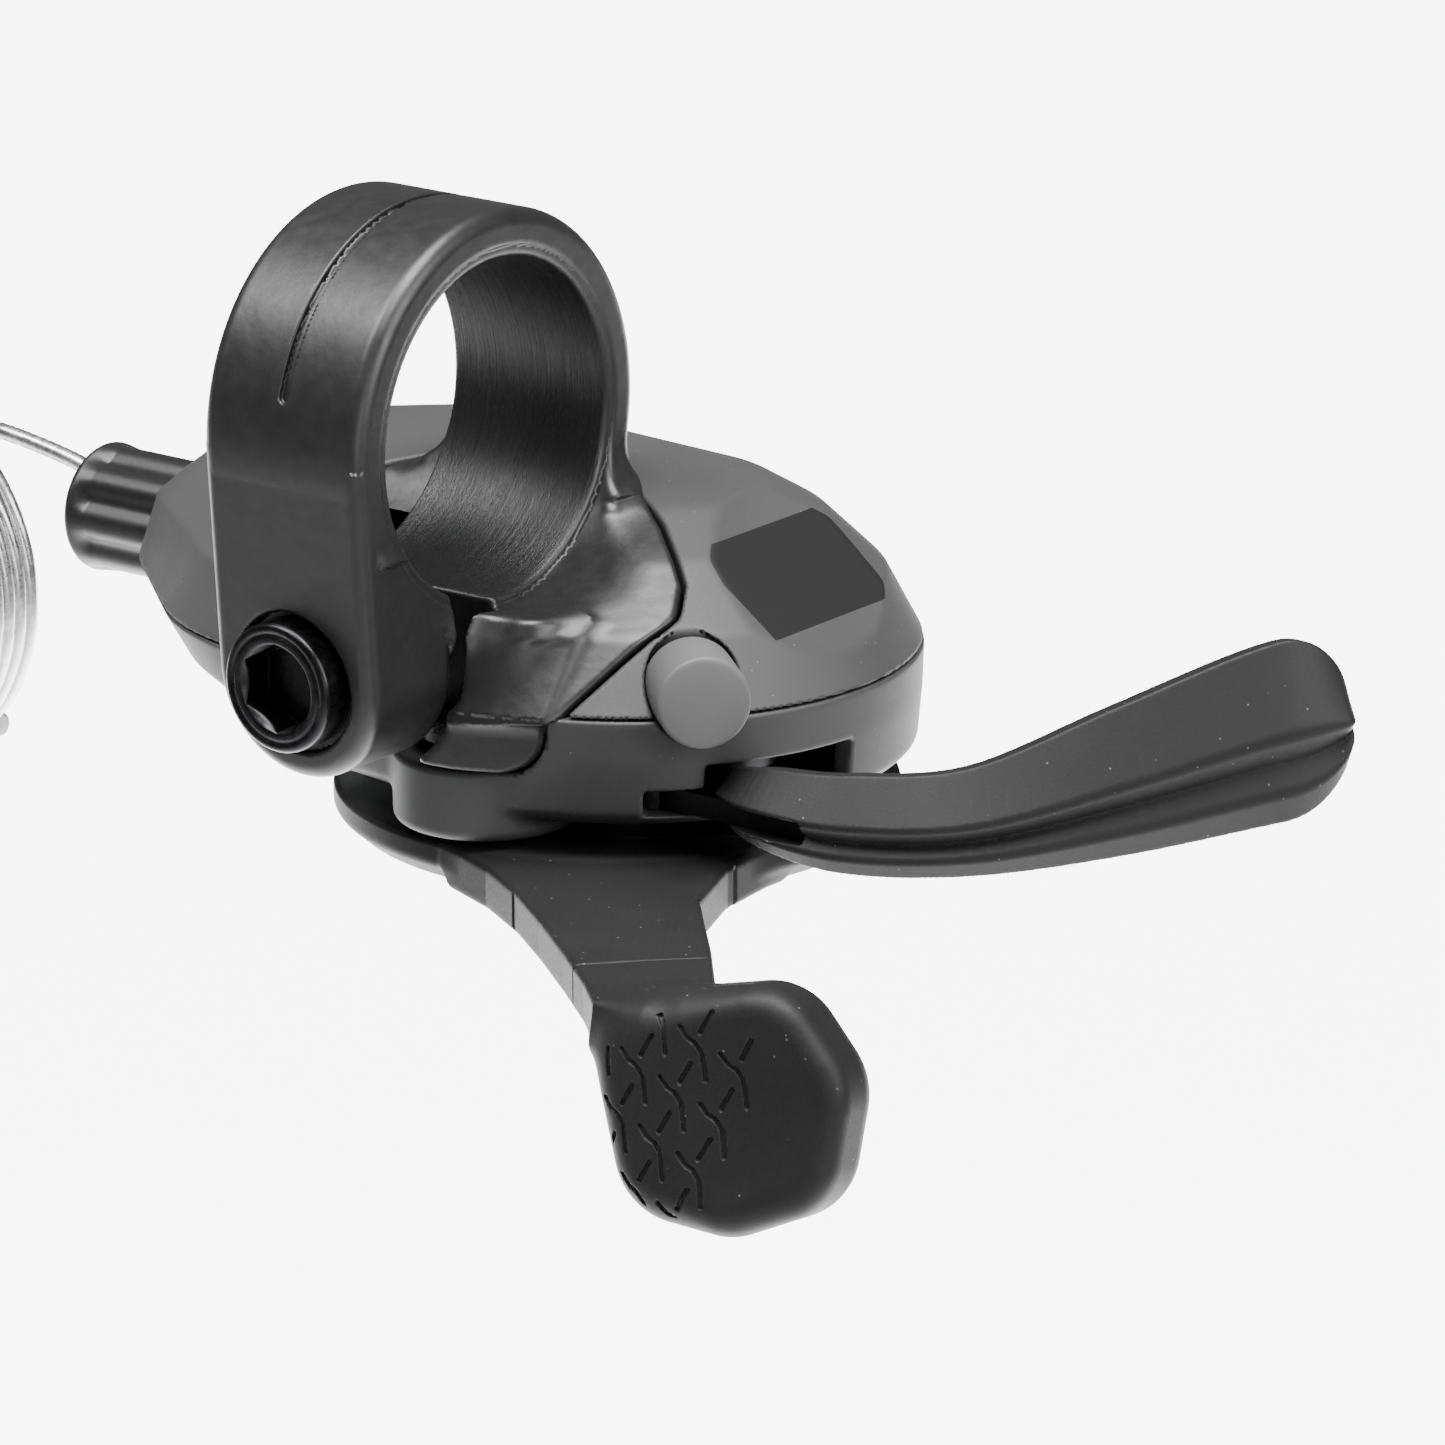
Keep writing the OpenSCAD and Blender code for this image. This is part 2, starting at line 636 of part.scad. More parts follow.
module cable_lead() {
    color([0.85, 0.85, 0.86]) tube([route[0], [-31, barrel_y, wire_z], lead_bend,
        (lead_bend + lead_end) / 2, lead_end], wire_r, tube_sides);
}
module cable_wrap() {
    color([0.85, 0.85, 0.86]) at_axle(wire_z) rotate([0, 0, wrap_start])
        rotate_extrude(angle = 400 - wrap_start - 12) translate([wind_r, 0]) circle(r = wire_r);
}
module cable_nipple() {
    color([0.7, 0.7, 0.7]) at_axle(wire_z - 1.7) rotate([0, 0, 40]) translate([wind_r, 0, 0])
        cylinder(r = 1.8, h = 3.2);
}
module inner_cable() { color([0.85, 0.85, 0.86]) tube(route, wire_r, tube_sides); }
module at_coil() { translate([coil_x, coil_y, coil_z]) rotate([90, 0, 0]) children(); }
module cable_coil() {
    color([0.8, 0.8, 0.81]) at_coil() rotate_extrude()
        translate([coil_in, -coil_w / 2]) square([coil_out - coil_in, coil_w]);
}
module coil_tie() {
    place = [coil_in - tie_t, 0, -coil_w / 2 - tie_t];
    color([0.1, 0.1, 0.1]) at_coil() rotate([0, 0, 225]) translate(place) difference() {
        translate([0, -1.4, 0]) cube([coil_out - coil_in + 2 * tie_t, 2.8, coil_w + 2 * tie_t]);
        translate([tie_t - 0.2, -3, tie_t - 0.05]) cube([coil_out - coil_in + 0.25, 6, coil_w + 0.1]);
    }
}
module cable_end_cap() {
    color([0.75, 0.75, 0.77]) translate([coil_x, coil_y + coil_w / 2 + 0.9, coil_z - 10.8]) rotate([0, 90, 0])
        cylinder(r = 0.9, h = 9);
}

clamp_bracket();
clamp_bolt();
bracket_screw();
top_cover();
bottom_cover();
cable_port_plug();
cover_screws();
base_plate();
main_axle();
axle_nut();
lever_washer();
cable_pulley();
ratchet_wheel();
pulley_spring();
spring_plate();
thumb_lever_arm();
thumb_lever_pad();
drive_plate();
drive_pawl();
drive_pawl_pin();
thumb_lever_spring();
release_lever_plate();
release_lever_paddle();
release_pin();
release_spring();
holding_pawl();
holding_pawl_pin();
holding_pawl_spring();
barrel_adjuster();
adjuster_insert();
adjuster_spring();
cable_lead();
cable_wrap();
cable_nipple();
inner_cable();
cable_coil();
coil_tie();
cable_end_cap();
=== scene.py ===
"""Looks of the right-hand trigger shifter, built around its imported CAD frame. Lengths are in millimetres
until a mesh is made, and in metres in Blender. +X is outboard, +Y forward and +Z up, as in the CAD."""
import math

import bpy
import numpy as np
from mathutils import Matrix, Vector


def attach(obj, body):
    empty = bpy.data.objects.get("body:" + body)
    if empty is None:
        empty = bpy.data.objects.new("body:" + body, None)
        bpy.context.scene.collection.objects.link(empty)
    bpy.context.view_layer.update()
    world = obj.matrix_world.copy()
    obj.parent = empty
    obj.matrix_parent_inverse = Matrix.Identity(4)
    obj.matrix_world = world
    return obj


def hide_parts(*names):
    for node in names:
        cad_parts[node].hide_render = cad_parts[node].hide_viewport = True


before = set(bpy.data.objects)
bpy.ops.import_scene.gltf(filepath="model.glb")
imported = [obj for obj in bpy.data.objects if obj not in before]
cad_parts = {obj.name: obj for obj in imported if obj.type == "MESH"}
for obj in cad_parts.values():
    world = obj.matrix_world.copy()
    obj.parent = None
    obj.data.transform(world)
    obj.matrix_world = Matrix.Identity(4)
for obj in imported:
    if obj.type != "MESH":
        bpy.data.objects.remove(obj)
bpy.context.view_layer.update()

MM = 0.001

# housing, as in the CAD: its centre line, the arc at its outboard end and its heights
POD_Y = 14.8
END_X, END_R = 5.5, 19.3
PARTING_Z = -17.4
# the flat facet: its normal's X and Z, and its distance from the bar axis
FACET = (0.58, 0.81, 1.25)
# the painted shade on the facet, a near-black colour: its bottom, top and rear edge
FACET_SHADE_EDGES = (-13.7, -8.9, 9.6)
# how far under the facet the painted shade still reaches
FACET_SHADE_DEPTH = 0.045
FLOOR_Z = -25.0
WALL = 1.6

# clamp bracket
BAR_R, RING_R, RING_W = 11.1, 14.2, 13.0
SLIT_TOP_Y = -0.9
BOLT_Z = -14.9
LUG_X, LUG_Y, LUG_R, LUG_Z = 4.8, 0.4, 6.1, -21.3
BOSS_Z = -26.3

# levers
AXLE_X, AXLE_Y = 4.5, 14.5
ARM_TOP, ARM_T = -27.0, 3.0

# cable
WIRE_R = 0.6
WIRE_Z = -16.5
ROUTE = [
    (-34.6, 15, -16.5), (-36, 15, -16.4), (-38, 15.1, -15.9), (-40, 15.2, -15.1), (-42, 15.3, -14.4),
    (-44, 15.4, -13.9), (-47, 15.5, -13.4), (-50, 15.5, -13), (-53, 15.5, -12.8), (-56, 15.5, -12.7),
    (-60, 15.5, -12.6), (-64, 15.5, -12.6), (-68, 15.5, -12.6),
]
COIL_X, COIL_Y, COIL_IN, COIL_OUT, COIL_W = -68.0, 19.1, 7.5, 14.1, 7.2
COIL_Z = -12.6 - WIRE_R - COIL_OUT


# ---------------------------------------------------------------- camera, floor and light

def make_camera():
    """Camera on the rider's side: 37.2 degrees round to the right and 17.4 degrees up."""
    turn, tilt, distance = math.radians(37.2), math.radians(17.4), 0.5
    right = Vector((math.cos(turn), math.sin(turn), 0))
    back = Vector((math.sin(turn) * math.cos(tilt), -math.cos(turn) * math.cos(tilt), math.sin(tilt)))
    up = back.cross(right)
    aim = right * 0.01932 - up * 0.01987
    data = bpy.data.cameras.new("camera")
    data.sensor_width = 36.0
    data.lens = 194.2
    data.clip_start, data.clip_end = 0.02, 20.0
    camera = bpy.data.objects.new("camera", data)
    axes = Matrix((right, up, back)).transposed().to_4x4()
    camera.matrix_world = Matrix.Translation(aim + back * distance) @ axes
    bpy.context.scene.collection.objects.link(camera)
    bpy.context.scene.camera = camera


def area_light(name, place, target, size, power, size_y=None, colour=(1, 1, 1)):
    data = bpy.data.lights.new(name, "AREA")
    data.shape = "RECTANGLE"
    data.size = size
    data.size_y = size_y or size
    data.energy = power
    data.color = colour
    lamp = bpy.data.objects.new(name, data)
    lamp.location = place
    aim = Vector(target) - Vector(place)
    lamp.rotation_euler = aim.to_track_quat("-Z", "Y").to_euler()
    bpy.context.scene.collection.objects.link(lamp)


def make_studio():
    """A pale floor well below the part, which hangs on its bar, and soft light all round it."""
    mesh = bpy.data.meshes.new("floor")
    half, z = 12.0, -0.42
    corners = [(-half, -half, z), (half, -half, z), (half, half, z), (-half, half, z)]
    mesh.from_pydata(corners, [], [(0, 1, 2, 3)])
    floor = bpy.data.objects.new("floor", mesh)
    bpy.context.scene.collection.objects.link(floor)
    pale = bpy.data.materials.new("floor_pale")
    pale.use_nodes = True
    bsdf = pale.node_tree.nodes["Principled BSDF"]
    bsdf.inputs["Base Color"].default_value = (0.93, 0.93, 0.93, 1)
    bsdf.inputs["Roughness"].default_value = 0.9
    bsdf.inputs["Specular IOR Level"].default_value = 0.1
    mesh.materials.append(pale)
    world = bpy.data.worlds.new("studio")
    world.use_nodes = True
    background = world.node_tree.nodes["Background"]
    background.inputs["Color"].default_value = (1, 1, 1, 1)
    background.inputs["Strength"].default_value = 0.17
    bpy.context.scene.world = world
    centre = (0.0, 0.0, -0.015)
    backdrop = (-0.87, 1.16)
    area_light("floor_wash", (*backdrop, -0.2), (*backdrop, -0.42), 2.4, 150.0)
    area_light("key_left", (-0.30, -0.30, 0.60), centre, 0.3, 7.0)
    area_light("overhead", (0.1, -0.05, 0.7), centre, 0.45, 17.0)
    area_light("front_right", (0.62, -0.55, 0.05), centre, 0.3, 1.3)
    area_light("right", (0.7, 0.05, 0.3), centre, 0.5, 6.5)


make_camera()
make_studio()


# ---------------------------------------------------------------- materials

def new_material(name):
    material = bpy.data.materials.new(name)
    material.use_nodes = True
    nodes = material.node_tree.nodes
    return material, material.node_tree, nodes["Principled BSDF"]


def node(tree, kind, **values):
    made = tree.nodes.new(kind)
    for key, value in values.items():
        if key in made.inputs:
            made.inputs[key].default_value = value
        else:
            setattr(made, key, value)
    return made


def coordinates(tree, stretch=(1, 1, 1)):
    """Object coordinates in millimetres, stretched along each axis."""
    source = node(tree, "ShaderNodeTexCoord")
    mapping = node(tree, "ShaderNodeMapping")
    mapping.inputs["Scale"].default_value = [1000 * s for s in stretch]
    tree.links.new(source.outputs["Object"], mapping.inputs["Vector"])
    return mapping.outputs["Vector"]


def noise(tree, vector, scale, detail=3.0, rough=0.55):
    made = node(tree, "ShaderNodeTexNoise")
    made.inputs["Scale"].default_value = scale
    made.inputs["Detail"].default_value = detail
    made.inputs["Roughness"].default_value = rough
    tree.links.new(vector, made.inputs["Vector"])
    return made.outputs["Fac"]


def ramp(tree, value, low, high, out_low, out_high):
    made = node(tree, "ShaderNodeMapRange")
    for key, number in (("From Min", low), ("From Max", high), ("To Min", out_low), ("To Max", out_high)):
        made.inputs[key].default_value = number
    tree.links.new(value, made.inputs["Value"])
    return made.outputs["Result"]


def mix_colour(tree, factor, first, second):
    made = node(tree, "ShaderNodeMix", data_type="RGBA")
    tree.links.new(factor, made.inputs[0])
    made.inputs[6].default_value = (*first, 1)
    made.inputs[7].default_value = (*second, 1)
    return made.outputs[2]


def add_bump(tree, bsdf, height, strength, distance):
    made = node(tree, "ShaderNodeBump")
    made.inputs["Strength"].default_value = strength
    made.inputs["Distance"].default_value = distance * MM
    tree.links.new(height, made.inputs["Height"])
    tree.links.new(made.outputs["Normal"], bsdf.inputs["Normal"])
    return made


def combine(tree, first, second, operation="ADD", clamp=False):
    made = node(tree, "ShaderNodeMath", operation=operation, use_clamp=clamp)
    for index, value in enumerate((first, second)):
        if isinstance(value, (int, float)):
            made.inputs[index].default_value = value
        else:
            tree.links.new(value, made.inputs[index])
    return made.outputs[0]


def specks(tree, vector, scale, size):
    """Small round specks: 1 in a speck, 0 between them."""
    made = node(tree, "ShaderNodeTexVoronoi")
    made.inputs["Scale"].default_value = scale
    tree.links.new(vector, made.inputs["Vector"])
    near = ramp(tree, made.outputs["Distance"], size * 0.6, size, 1.0, 0.0)
    pick = node(tree, "ShaderNodeSeparateColor")
    tree.links.new(made.outputs["Color"], pick.inputs["Color"])
    chosen = combine(tree, pick.outputs["Red"], 0.82, "GREATER_THAN")
    return combine(tree, near, chosen, "MULTIPLY")


def plastic(name, dark, light, rough, grain_scale, grain_depth, speck=0.0, speck_colour=(0.12, 0.12, 0.12),
            specular=0.5):
    """Moulded plastic: spark-eroded grain, slow drift in tone and a few specks of dust."""
    material, tree, bsdf = new_material(name)
    at = coordinates(tree)
    drift = noise(tree, at, 0.09, 2.0)
    grain = noise(tree, at, grain_scale, 4.0, 0.7)
    mottle = combine(tree, drift, combine(tree, grain, 0.35, "MULTIPLY"))
    tone = mix_colour(tree, ramp(tree, mottle, 0.45, 0.9, 0, 1), dark, light)
    if speck > 0:
        dust = specks(tree, at, 1.5, speck)
        blend = node(tree, "ShaderNodeMix", data_type="RGBA")
        tree.links.new(dust, blend.inputs[0])
        tree.links.new(tone, blend.inputs[6])
        blend.inputs[7].default_value = (*speck_colour, 1)
        tone = blend.outputs[2]
    tree.links.new(tone, bsdf.inputs["Base Color"])
    tree.links.new(ramp(tree, grain, 0.3, 0.7, rough - 0.05, rough + 0.07), bsdf.inputs["Roughness"])
    bsdf.inputs["Specular IOR Level"].default_value = specular
    add_bump(tree, bsdf, grain, 0.5, grain_depth)
    return material


def paint_facet_shade(material):
    """Painted shade on the cover's facet: a near-black colour there, with a lower roughness, where the rest
    is grained.
    """
    tree = material.node_tree
    bsdf = tree.nodes["Principled BSDF"]
    split = node(tree, "ShaderNodeSeparateXYZ")
    tree.links.new(coordinates(tree), split.inputs["Vector"])
    across = combine(tree, split.outputs["X"], FACET[0], "MULTIPLY")
    upward = combine(tree, split.outputs["Z"], FACET[1], "MULTIPLY")
    facet_shade = combine(tree, combine(tree, across, upward), FACET[2] - FACET_SHADE_DEPTH, "GREATER_THAN")
    low, high, rear = FACET_SHADE_EDGES
    limits = [("Z", low, "GREATER_THAN"), ("Z", high, "LESS_THAN"), ("Y", rear, "GREATER_THAN")]
    for axis, limit, side in limits:
        facet_shade = combine(tree, facet_shade, combine(tree, split.outputs[axis], limit, side), "MULTIPLY")
    # painted shade: the facet's base colour is set near-black, and its roughness lower
    for socket, value in (("Base Color", (0.006, 0.006, 0.006)), ("Roughness", (0.42, 0.42, 0.42))):
        source = bsdf.inputs[socket].links[0].from_socket
        blend = node(tree, "ShaderNodeMix", data_type="RGBA")
        tree.links.new(facet_shade, blend.inputs[0])
        tree.links.new(source, blend.inputs[6])
        blend.inputs[7].default_value = (*value, 1)
        tree.links.new(blend.outputs[2], bsdf.inputs[socket])


def paint(name, base, rough, peel):
    """Semi-gloss enamel over a casting: orange peel and fine pits."""
    material, tree, bsdf = new_material(name)
    at = coordinates(tree)
    wave = noise(tree, at, 0.9, 2.0, 0.5)
    fine = noise(tree, at, 5.0, 2.0, 0.5)
    height = combine(tree, wave, combine(tree, fine, 0.12, "MULTIPLY"))
    bsdf.inputs["Base Color"].default_value = (*base, 1)
    tree.links.new(ramp(tree, wave, 0.3, 0.7, rough - 0.03, rough + 0.05), bsdf.inputs["Roughness"])
    bsdf.inputs["Specular IOR Level"].default_value = 0.5
    add_bump(tree, bsdf, height, 0.6, peel)
    return material


def turned(name, base, rough, metallic, line_scale, depth):
    """A turned bore: fine tool lines round the X axis, under thin paint."""
    material, tree, bsdf = new_material(name)
    at = coordinates(tree)
    split = node(tree, "ShaderNodeSeparateXYZ")
    tree.links.new(at, split.inputs["Vector"])
    angle = combine(tree, split.outputs["Y"], split.outputs["Z"], "ARCTAN2")
    join = node(tree, "ShaderNodeCombineXYZ")
    tree.links.new(split.outputs["X"], join.inputs["X"])
    tree.links.new(combine(tree, angle, 0.35, "MULTIPLY"), join.inputs["Y"])
    lines = noise(tree, join.outputs["Vector"], line_scale, 5.0, 0.75)
    coarse = noise(tree, join.outputs["Vector"], line_scale * 0.3, 2.0, 0.6)
    height = combine(tree, lines, combine(tree, coarse, 0.8, "MULTIPLY"))
    bsdf.inputs["Base Color"].default_value = (*base, 1)
    bsdf.inputs["Metallic"].default_value = metallic
    tree.links.new(ramp(tree, lines, 0.3, 0.7, rough - 0.06, rough + 0.12), bsdf.inputs["Roughness"])
    add_bump(tree, bsdf, height, 0.9, depth)
    return material


def metal(name, base, rough, grain=3.0, depth=0.004, metallic=1.0):
    """Bare or blacked steel with a tumbled, lightly scratched face."""
    material, tree, bsdf = new_material(name)
    at = coordinates(tree)
    scratch = noise(tree, coordinates(tree, (1.0, 0.12, 0.4)), grain * 2, 4.0, 0.7)
    cloud = noise(tree, at, grain * 0.4, 3.0)
    gloss = ramp(tree, combine(tree, scratch, cloud), 0.7, 1.3, rough - 0.07, rough + 0.12)
    tree.links.new(gloss, bsdf.inputs["Roughness"])
    darker = [c * 0.78 for c in base]
    tone = mix_colour(tree, ramp(tree, cloud, 0.35, 0.65, 0, 1), darker, base)
    tree.links.new(tone, bsdf.inputs["Base Color"])
    bsdf.inputs["Metallic"].default_value = metallic
    add_bump(tree, bsdf, scratch, 0.5, depth)
    return material


BRACKET_PAINT = paint("bracket_paint", (0.008, 0.008, 0.0083), 0.38, 0.035)
BORE_PAINT = turned("bore_paint", (0.008, 0.008, 0.0085), 0.3, 0.0, 5.0, 0.09)
# The two covers are one plastic in two tones: the top cover's is lighter and the lower cover's darker,
# painted light on the top cover and painted shade on the lower one.
COVER_PLASTIC = plastic("cover_plastic", (0.024, 0.024, 0.025), (0.031, 0.031, 0.032), 0.56, 6.0, 0.012, 0.09)
TOP_PLASTIC = plastic("top_cover_plastic", (0.028, 0.028, 0.029), (0.036, 0.036, 0.037), 0.56, 6.0, 0.012,
                      0.09)
# painted shade on the top cover's facet
paint_facet_shade(TOP_PLASTIC)
PLUG_PLASTIC = plastic("plug_plastic", (0.085, 0.085, 0.086), (0.1, 0.1, 0.101), 0.55, 5.0, 0.008)
LEVER_PLASTIC = plastic("lever_plastic", (0.007, 0.007, 0.0073), (0.011, 0.011, 0.0113), 0.52, 5.0, 0.02,
                        0.13, (0.08, 0.08, 0.08), 0.22)
ADJUSTER_PLASTIC = plastic("adjuster_plastic", (0.006, 0.006, 0.0062), (0.01, 0.01, 0.0103), 0.36, 4.0, 0.01)
BOLT_BLACK = metal("bolt_black", (0.03, 0.03, 0.032), 0.3)
WIRE_STEEL = metal("wire_steel", (0.8, 0.8, 0.81), 0.26)
PLATE_STEEL = metal("plate_steel", (0.2, 0.2, 0.21), 0.36)
PIN_STEEL = metal("pin_steel", (0.3, 0.3, 0.31), 0.3)
SPRING_STEEL = metal("spring_steel", (0.38, 0.38, 0.4), 0.3)
SCREW_ZINC = metal("screw_zinc", (0.55, 0.56, 0.58), 0.32)
CAP_ALLOY = metal("cap_alloy", (0.75, 0.75, 0.76), 0.36)
BRASS = metal("insert_brass", (0.78, 0.56, 0.26), 0.28)
ACETAL = plastic("acetal", (0.62, 0.62, 0.58), (0.7, 0.7, 0.66), 0.42, 3.0, 0.006)
TIE_NYLON = plastic("tie_nylon", (0.02, 0.02, 0.02), (0.03, 0.03, 0.03), 0.4, 3.0, 0.008)


# ---------------------------------------------------------------- meshing of smooth solids

def union(a, b, k=0.0):
    """Union of two distance fields, with a fillet of about k."""
    if k <= 0:
        return np.minimum(a, b)
    h = np.maximum(k - np.abs(a - b), 0) / k
    return np.minimum(a, b) - h * h * k * 0.25


def cut(a, b, k=0.0):
    """a without b, with the edge rounded by about k."""
    return -union(-a, b, k)


def both(a, b, k=0.0):
    return -union(-a, -b, k)


def slab(value, low, high):
    return np.maximum(low - value, value - high)


def rounded_prism(flat, height, r):
    """A prism from a plan distance and a height distance, all its edges rounded by r."""
    a, b = flat + r, height + r
    outside = np.sqrt(np.maximum(a, 0) ** 2 + np.maximum(b, 0) ** 2)
    return np.minimum(np.maximum(a, b), 0) + outside - r


def disc(u, v, cu, cv, r):
    return np.hypot(u - cu, v - cv) - r


def box2(u, v, u0, u1, v0, v1, r=0.0):
    du = np.abs(u - (u0 + u1) / 2) - (u1 - u0) / 2 + r
    dv = np.abs(v - (v0 + v1) / 2) - (v1 - v0) / 2 + r
    return np.minimum(np.maximum(du, dv), 0) + np.hypot(np.maximum(du, 0), np.maximum(dv, 0)) - r


def polygon2(u, v, points):
    """Signed distance to a closed polygon in the plane."""
    best = np.full(u.shape, 1e9)
    inside = np.zeros(u.shape, bool)
    for (au, av), (bu, bv) in zip(points, points[1:] + points[:1]):
        eu, ev = bu - au, bv - av
        t = np.clip(((u - au) * eu + (v - av) * ev) / (eu * eu + ev * ev), 0, 1)
        best = np.minimum(best, (u - au - t * eu) ** 2 + (v - av - t * ev) ** 2)
        crosses = (av > v) != (bv > v)
        with np.errstate(divide="ignore", invalid="ignore"):
            side = u < (bu - au) * (v - av) / (bv - av if bv != av else 1e-9) + au
        inside ^= crosses & side
    return np.where(inside, -1, 1) * np.sqrt(best)


def two_discs(u, v, au, ar, bu, br):
    """Hull of two discs whose centres lie on v = 0, au < bu."""
    length = bu - au
    k = (ar - br) / length
    s = np.sqrt(np.maximum(1 - k * k, 1e-6))
    x, y = u - au, np.abs(v)
    t = x - y * k / s
    flat = y * s + x * k - ar
    near_a = np.hypot(x, y) - ar
    near_b = np.hypot(x - length, y) - br
    return np.where(t < 0, near_a, np.where(t > length, near_b, flat))


def surface(field, low, high, step):
    """Quads on the zero of field, by surface nets, with each point then moved on to the true surface."""
    low, high = np.array(low, float), np.array(high, float)
    n = np.ceil((high - low) / step).astype(int) + 1
    axes = [low[i] + step * np.arange(n[i]) for i in range(3)]
    values = np.empty(n)
    flat = np.stack(np.meshgrid(axes[1], axes[2], indexing="ij"), -1).reshape(-1, 2)
    rows = max(1, int(400000 / len(flat)))
    for start in range(0, n[0], rows):
        xs = axes[0][start:start + rows]
        points = np.empty((len(xs), len(flat), 3))
        points[:, :, 0] = xs[:, None]
        points[:, :, 1:] = flat[None]
        values[start:start + rows] = field(points.reshape(-1, 3)).reshape(len(xs), n[1], n[2])
    inside = values < 0
    corners = [(i, j, k) for i in (0, 1) for j in (0, 1) for k in (0, 1)]
    size = n - 1

    def part(grid, corner):
        return grid[tuple(slice(start, start + span) for start, span in zip(corner, size))]

    count = sum(part(inside, c).astype(np.int8) for c in corners)
    active = (count > 0) & (count < 8)
    cells = np.argwhere(active)
    index = np.full(size, -1)
    index[active] = np.arange(len(cells))
    value = {c: values[tuple((cells + c).T)] for c in corners}
    total = np.zeros((len(cells), 3))
    hits = np.zeros(len(cells))
    for a in corners:
        for axis in range(3):
            if a[axis]:
                continue
            b = tuple(1 if i == axis else a[i] for i in range(3))
            va, vb = value[a], value[b]
            crossing = (va < 0) != (vb < 0)
            t = np.where(crossing, va / np.where(va == vb, 1, va - vb), 0)
            point = np.tile(np.array(a, float), (len(cells), 1))
            point[:, axis] += t
            total[crossing] += point[crossing]
            hits[crossing] += 1
    points = low + step * (cells + total / hits[:, None])
    quads = []
    for axis in range(3):
        u, v = (axis + 1) % 3, (axis + 2) % 3
        first = np.take(inside, range(0, n[axis] - 1), axis)
        second = np.take(inside, range(1, n[axis]), axis)
        edges = np.argwhere(first != second)
        within_u = (edges[:, u] > 0) & (edges[:, u] < size[u])
        within_v = (edges[:, v] > 0) & (edges[:, v] < size[v])
        edges = edges[within_u & within_v]
        ring = []
        for du, dv in ((-1, -1), (0, -1), (0, 0), (-1, 0)):
            cell = edges.copy()
            cell[:, u] += du
            cell[:, v] += dv
            ring.append(index[tuple(cell.T)])
        ring = np.stack(ring, 1)
        outward = inside[tuple(edges.T)]
        ring[~outward] = ring[~outward][:, ::-1]
        quads.append(ring)
    quads = np.concatenate(quads)
    quads = quads[(quads >= 0).all(1)]
    for _ in range(3):
        slope, here = gradient(field, points)
        move = slope * (here / np.maximum((slope ** 2).sum(1), 0.05))[:, None]
        length = np.linalg.norm(move, axis=1)
        points -= move * np.minimum(1, step * 0.5 / np.maximum(length, 1e-9))[:, None]
    slope, _ = gradient(field, points)
    normals = slope / np.maximum(np.linalg.norm(slope, axis=1), 1e-9)[:, None]
    return points, quads, normals


def gradient(field, points, eps=0.02):
    slope = np.empty_like(points)
    for axis in range(3):
        shift = np.zeros(3)
        shift[axis] = eps
        slope[:, axis] = (field(points + shift) - field(points - shift)) / (2 * eps)
    return slope, field(points)


def mesh_object(name, points, faces, normals=None):
    """A smooth-shaded object from points in millimetres and faces of one size."""
    faces = np.asarray(faces)
    mesh = bpy.data.meshes.new(name)
    mesh.vertices.add(len(points))
    mesh.vertices.foreach_set("co", (np.asarray(points) * MM).astype(np.float32).ravel())
    mesh.loops.add(faces.size)
    mesh.loops.foreach_set("vertex_index", faces.astype(np.int32).ravel())
    mesh.polygons.add(len(faces))
    mesh.polygons.foreach_set("loop_start", np.arange(0, faces.size, faces.shape[1], dtype=np.int32))
    mesh.polygons.foreach_set("use_smooth", np.ones(len(faces), bool))
    mesh.update(calc_edges=True)
    if normals is not None:
        mesh.normals_split_custom_set_from_vertices(normals.astype(np.float32))
    made = bpy.data.objects.new(name, mesh)
    bpy.context.scene.collection.objects.link(made)
    return made


def solid(name, field, low, high, step, body, material, slot, *replaced):
    """A smooth solid from its distance field, riding on a body in place of CAD nodes."""
    made = mesh_object(name, *surface(field, low, high, step * (1)))
    made.data.materials.append(material)
    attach(made, body)
    if replaced:
        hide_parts(*replaced)
    return made


# ---------------------------------------------------------------- the inner wire and its coil

def smooth_path(points, per_span):
    """Catmull-Rom curve through the points."""
    p = np.array(points, float)
    p = np.vstack([2 * p[0] - p[1], p, 2 * p[-1] - p[-2]])
    out = []
    for i in range(1, len(p) - 2):
        for t in np.arange(per_span) / per_span:
            a, b, c, d = p[i - 1:i + 3]
            bend = (2 * a - 5 * b + 4 * c - d) * t * t
            out.append(0.5 * (2 * b + (c - a) * t + bend + (3 * b - a - 3 * c + d) * t ** 3))
    out.append(p[-2])
    return np.array(out)


def coil_point(r, angle, y):
    """A point of the coil, y forward of its rear side."""
    return COIL_X + r * math.cos(angle), COIL_Y - COIL_W / 2 + y, COIL_Z + r * math.sin(angle)


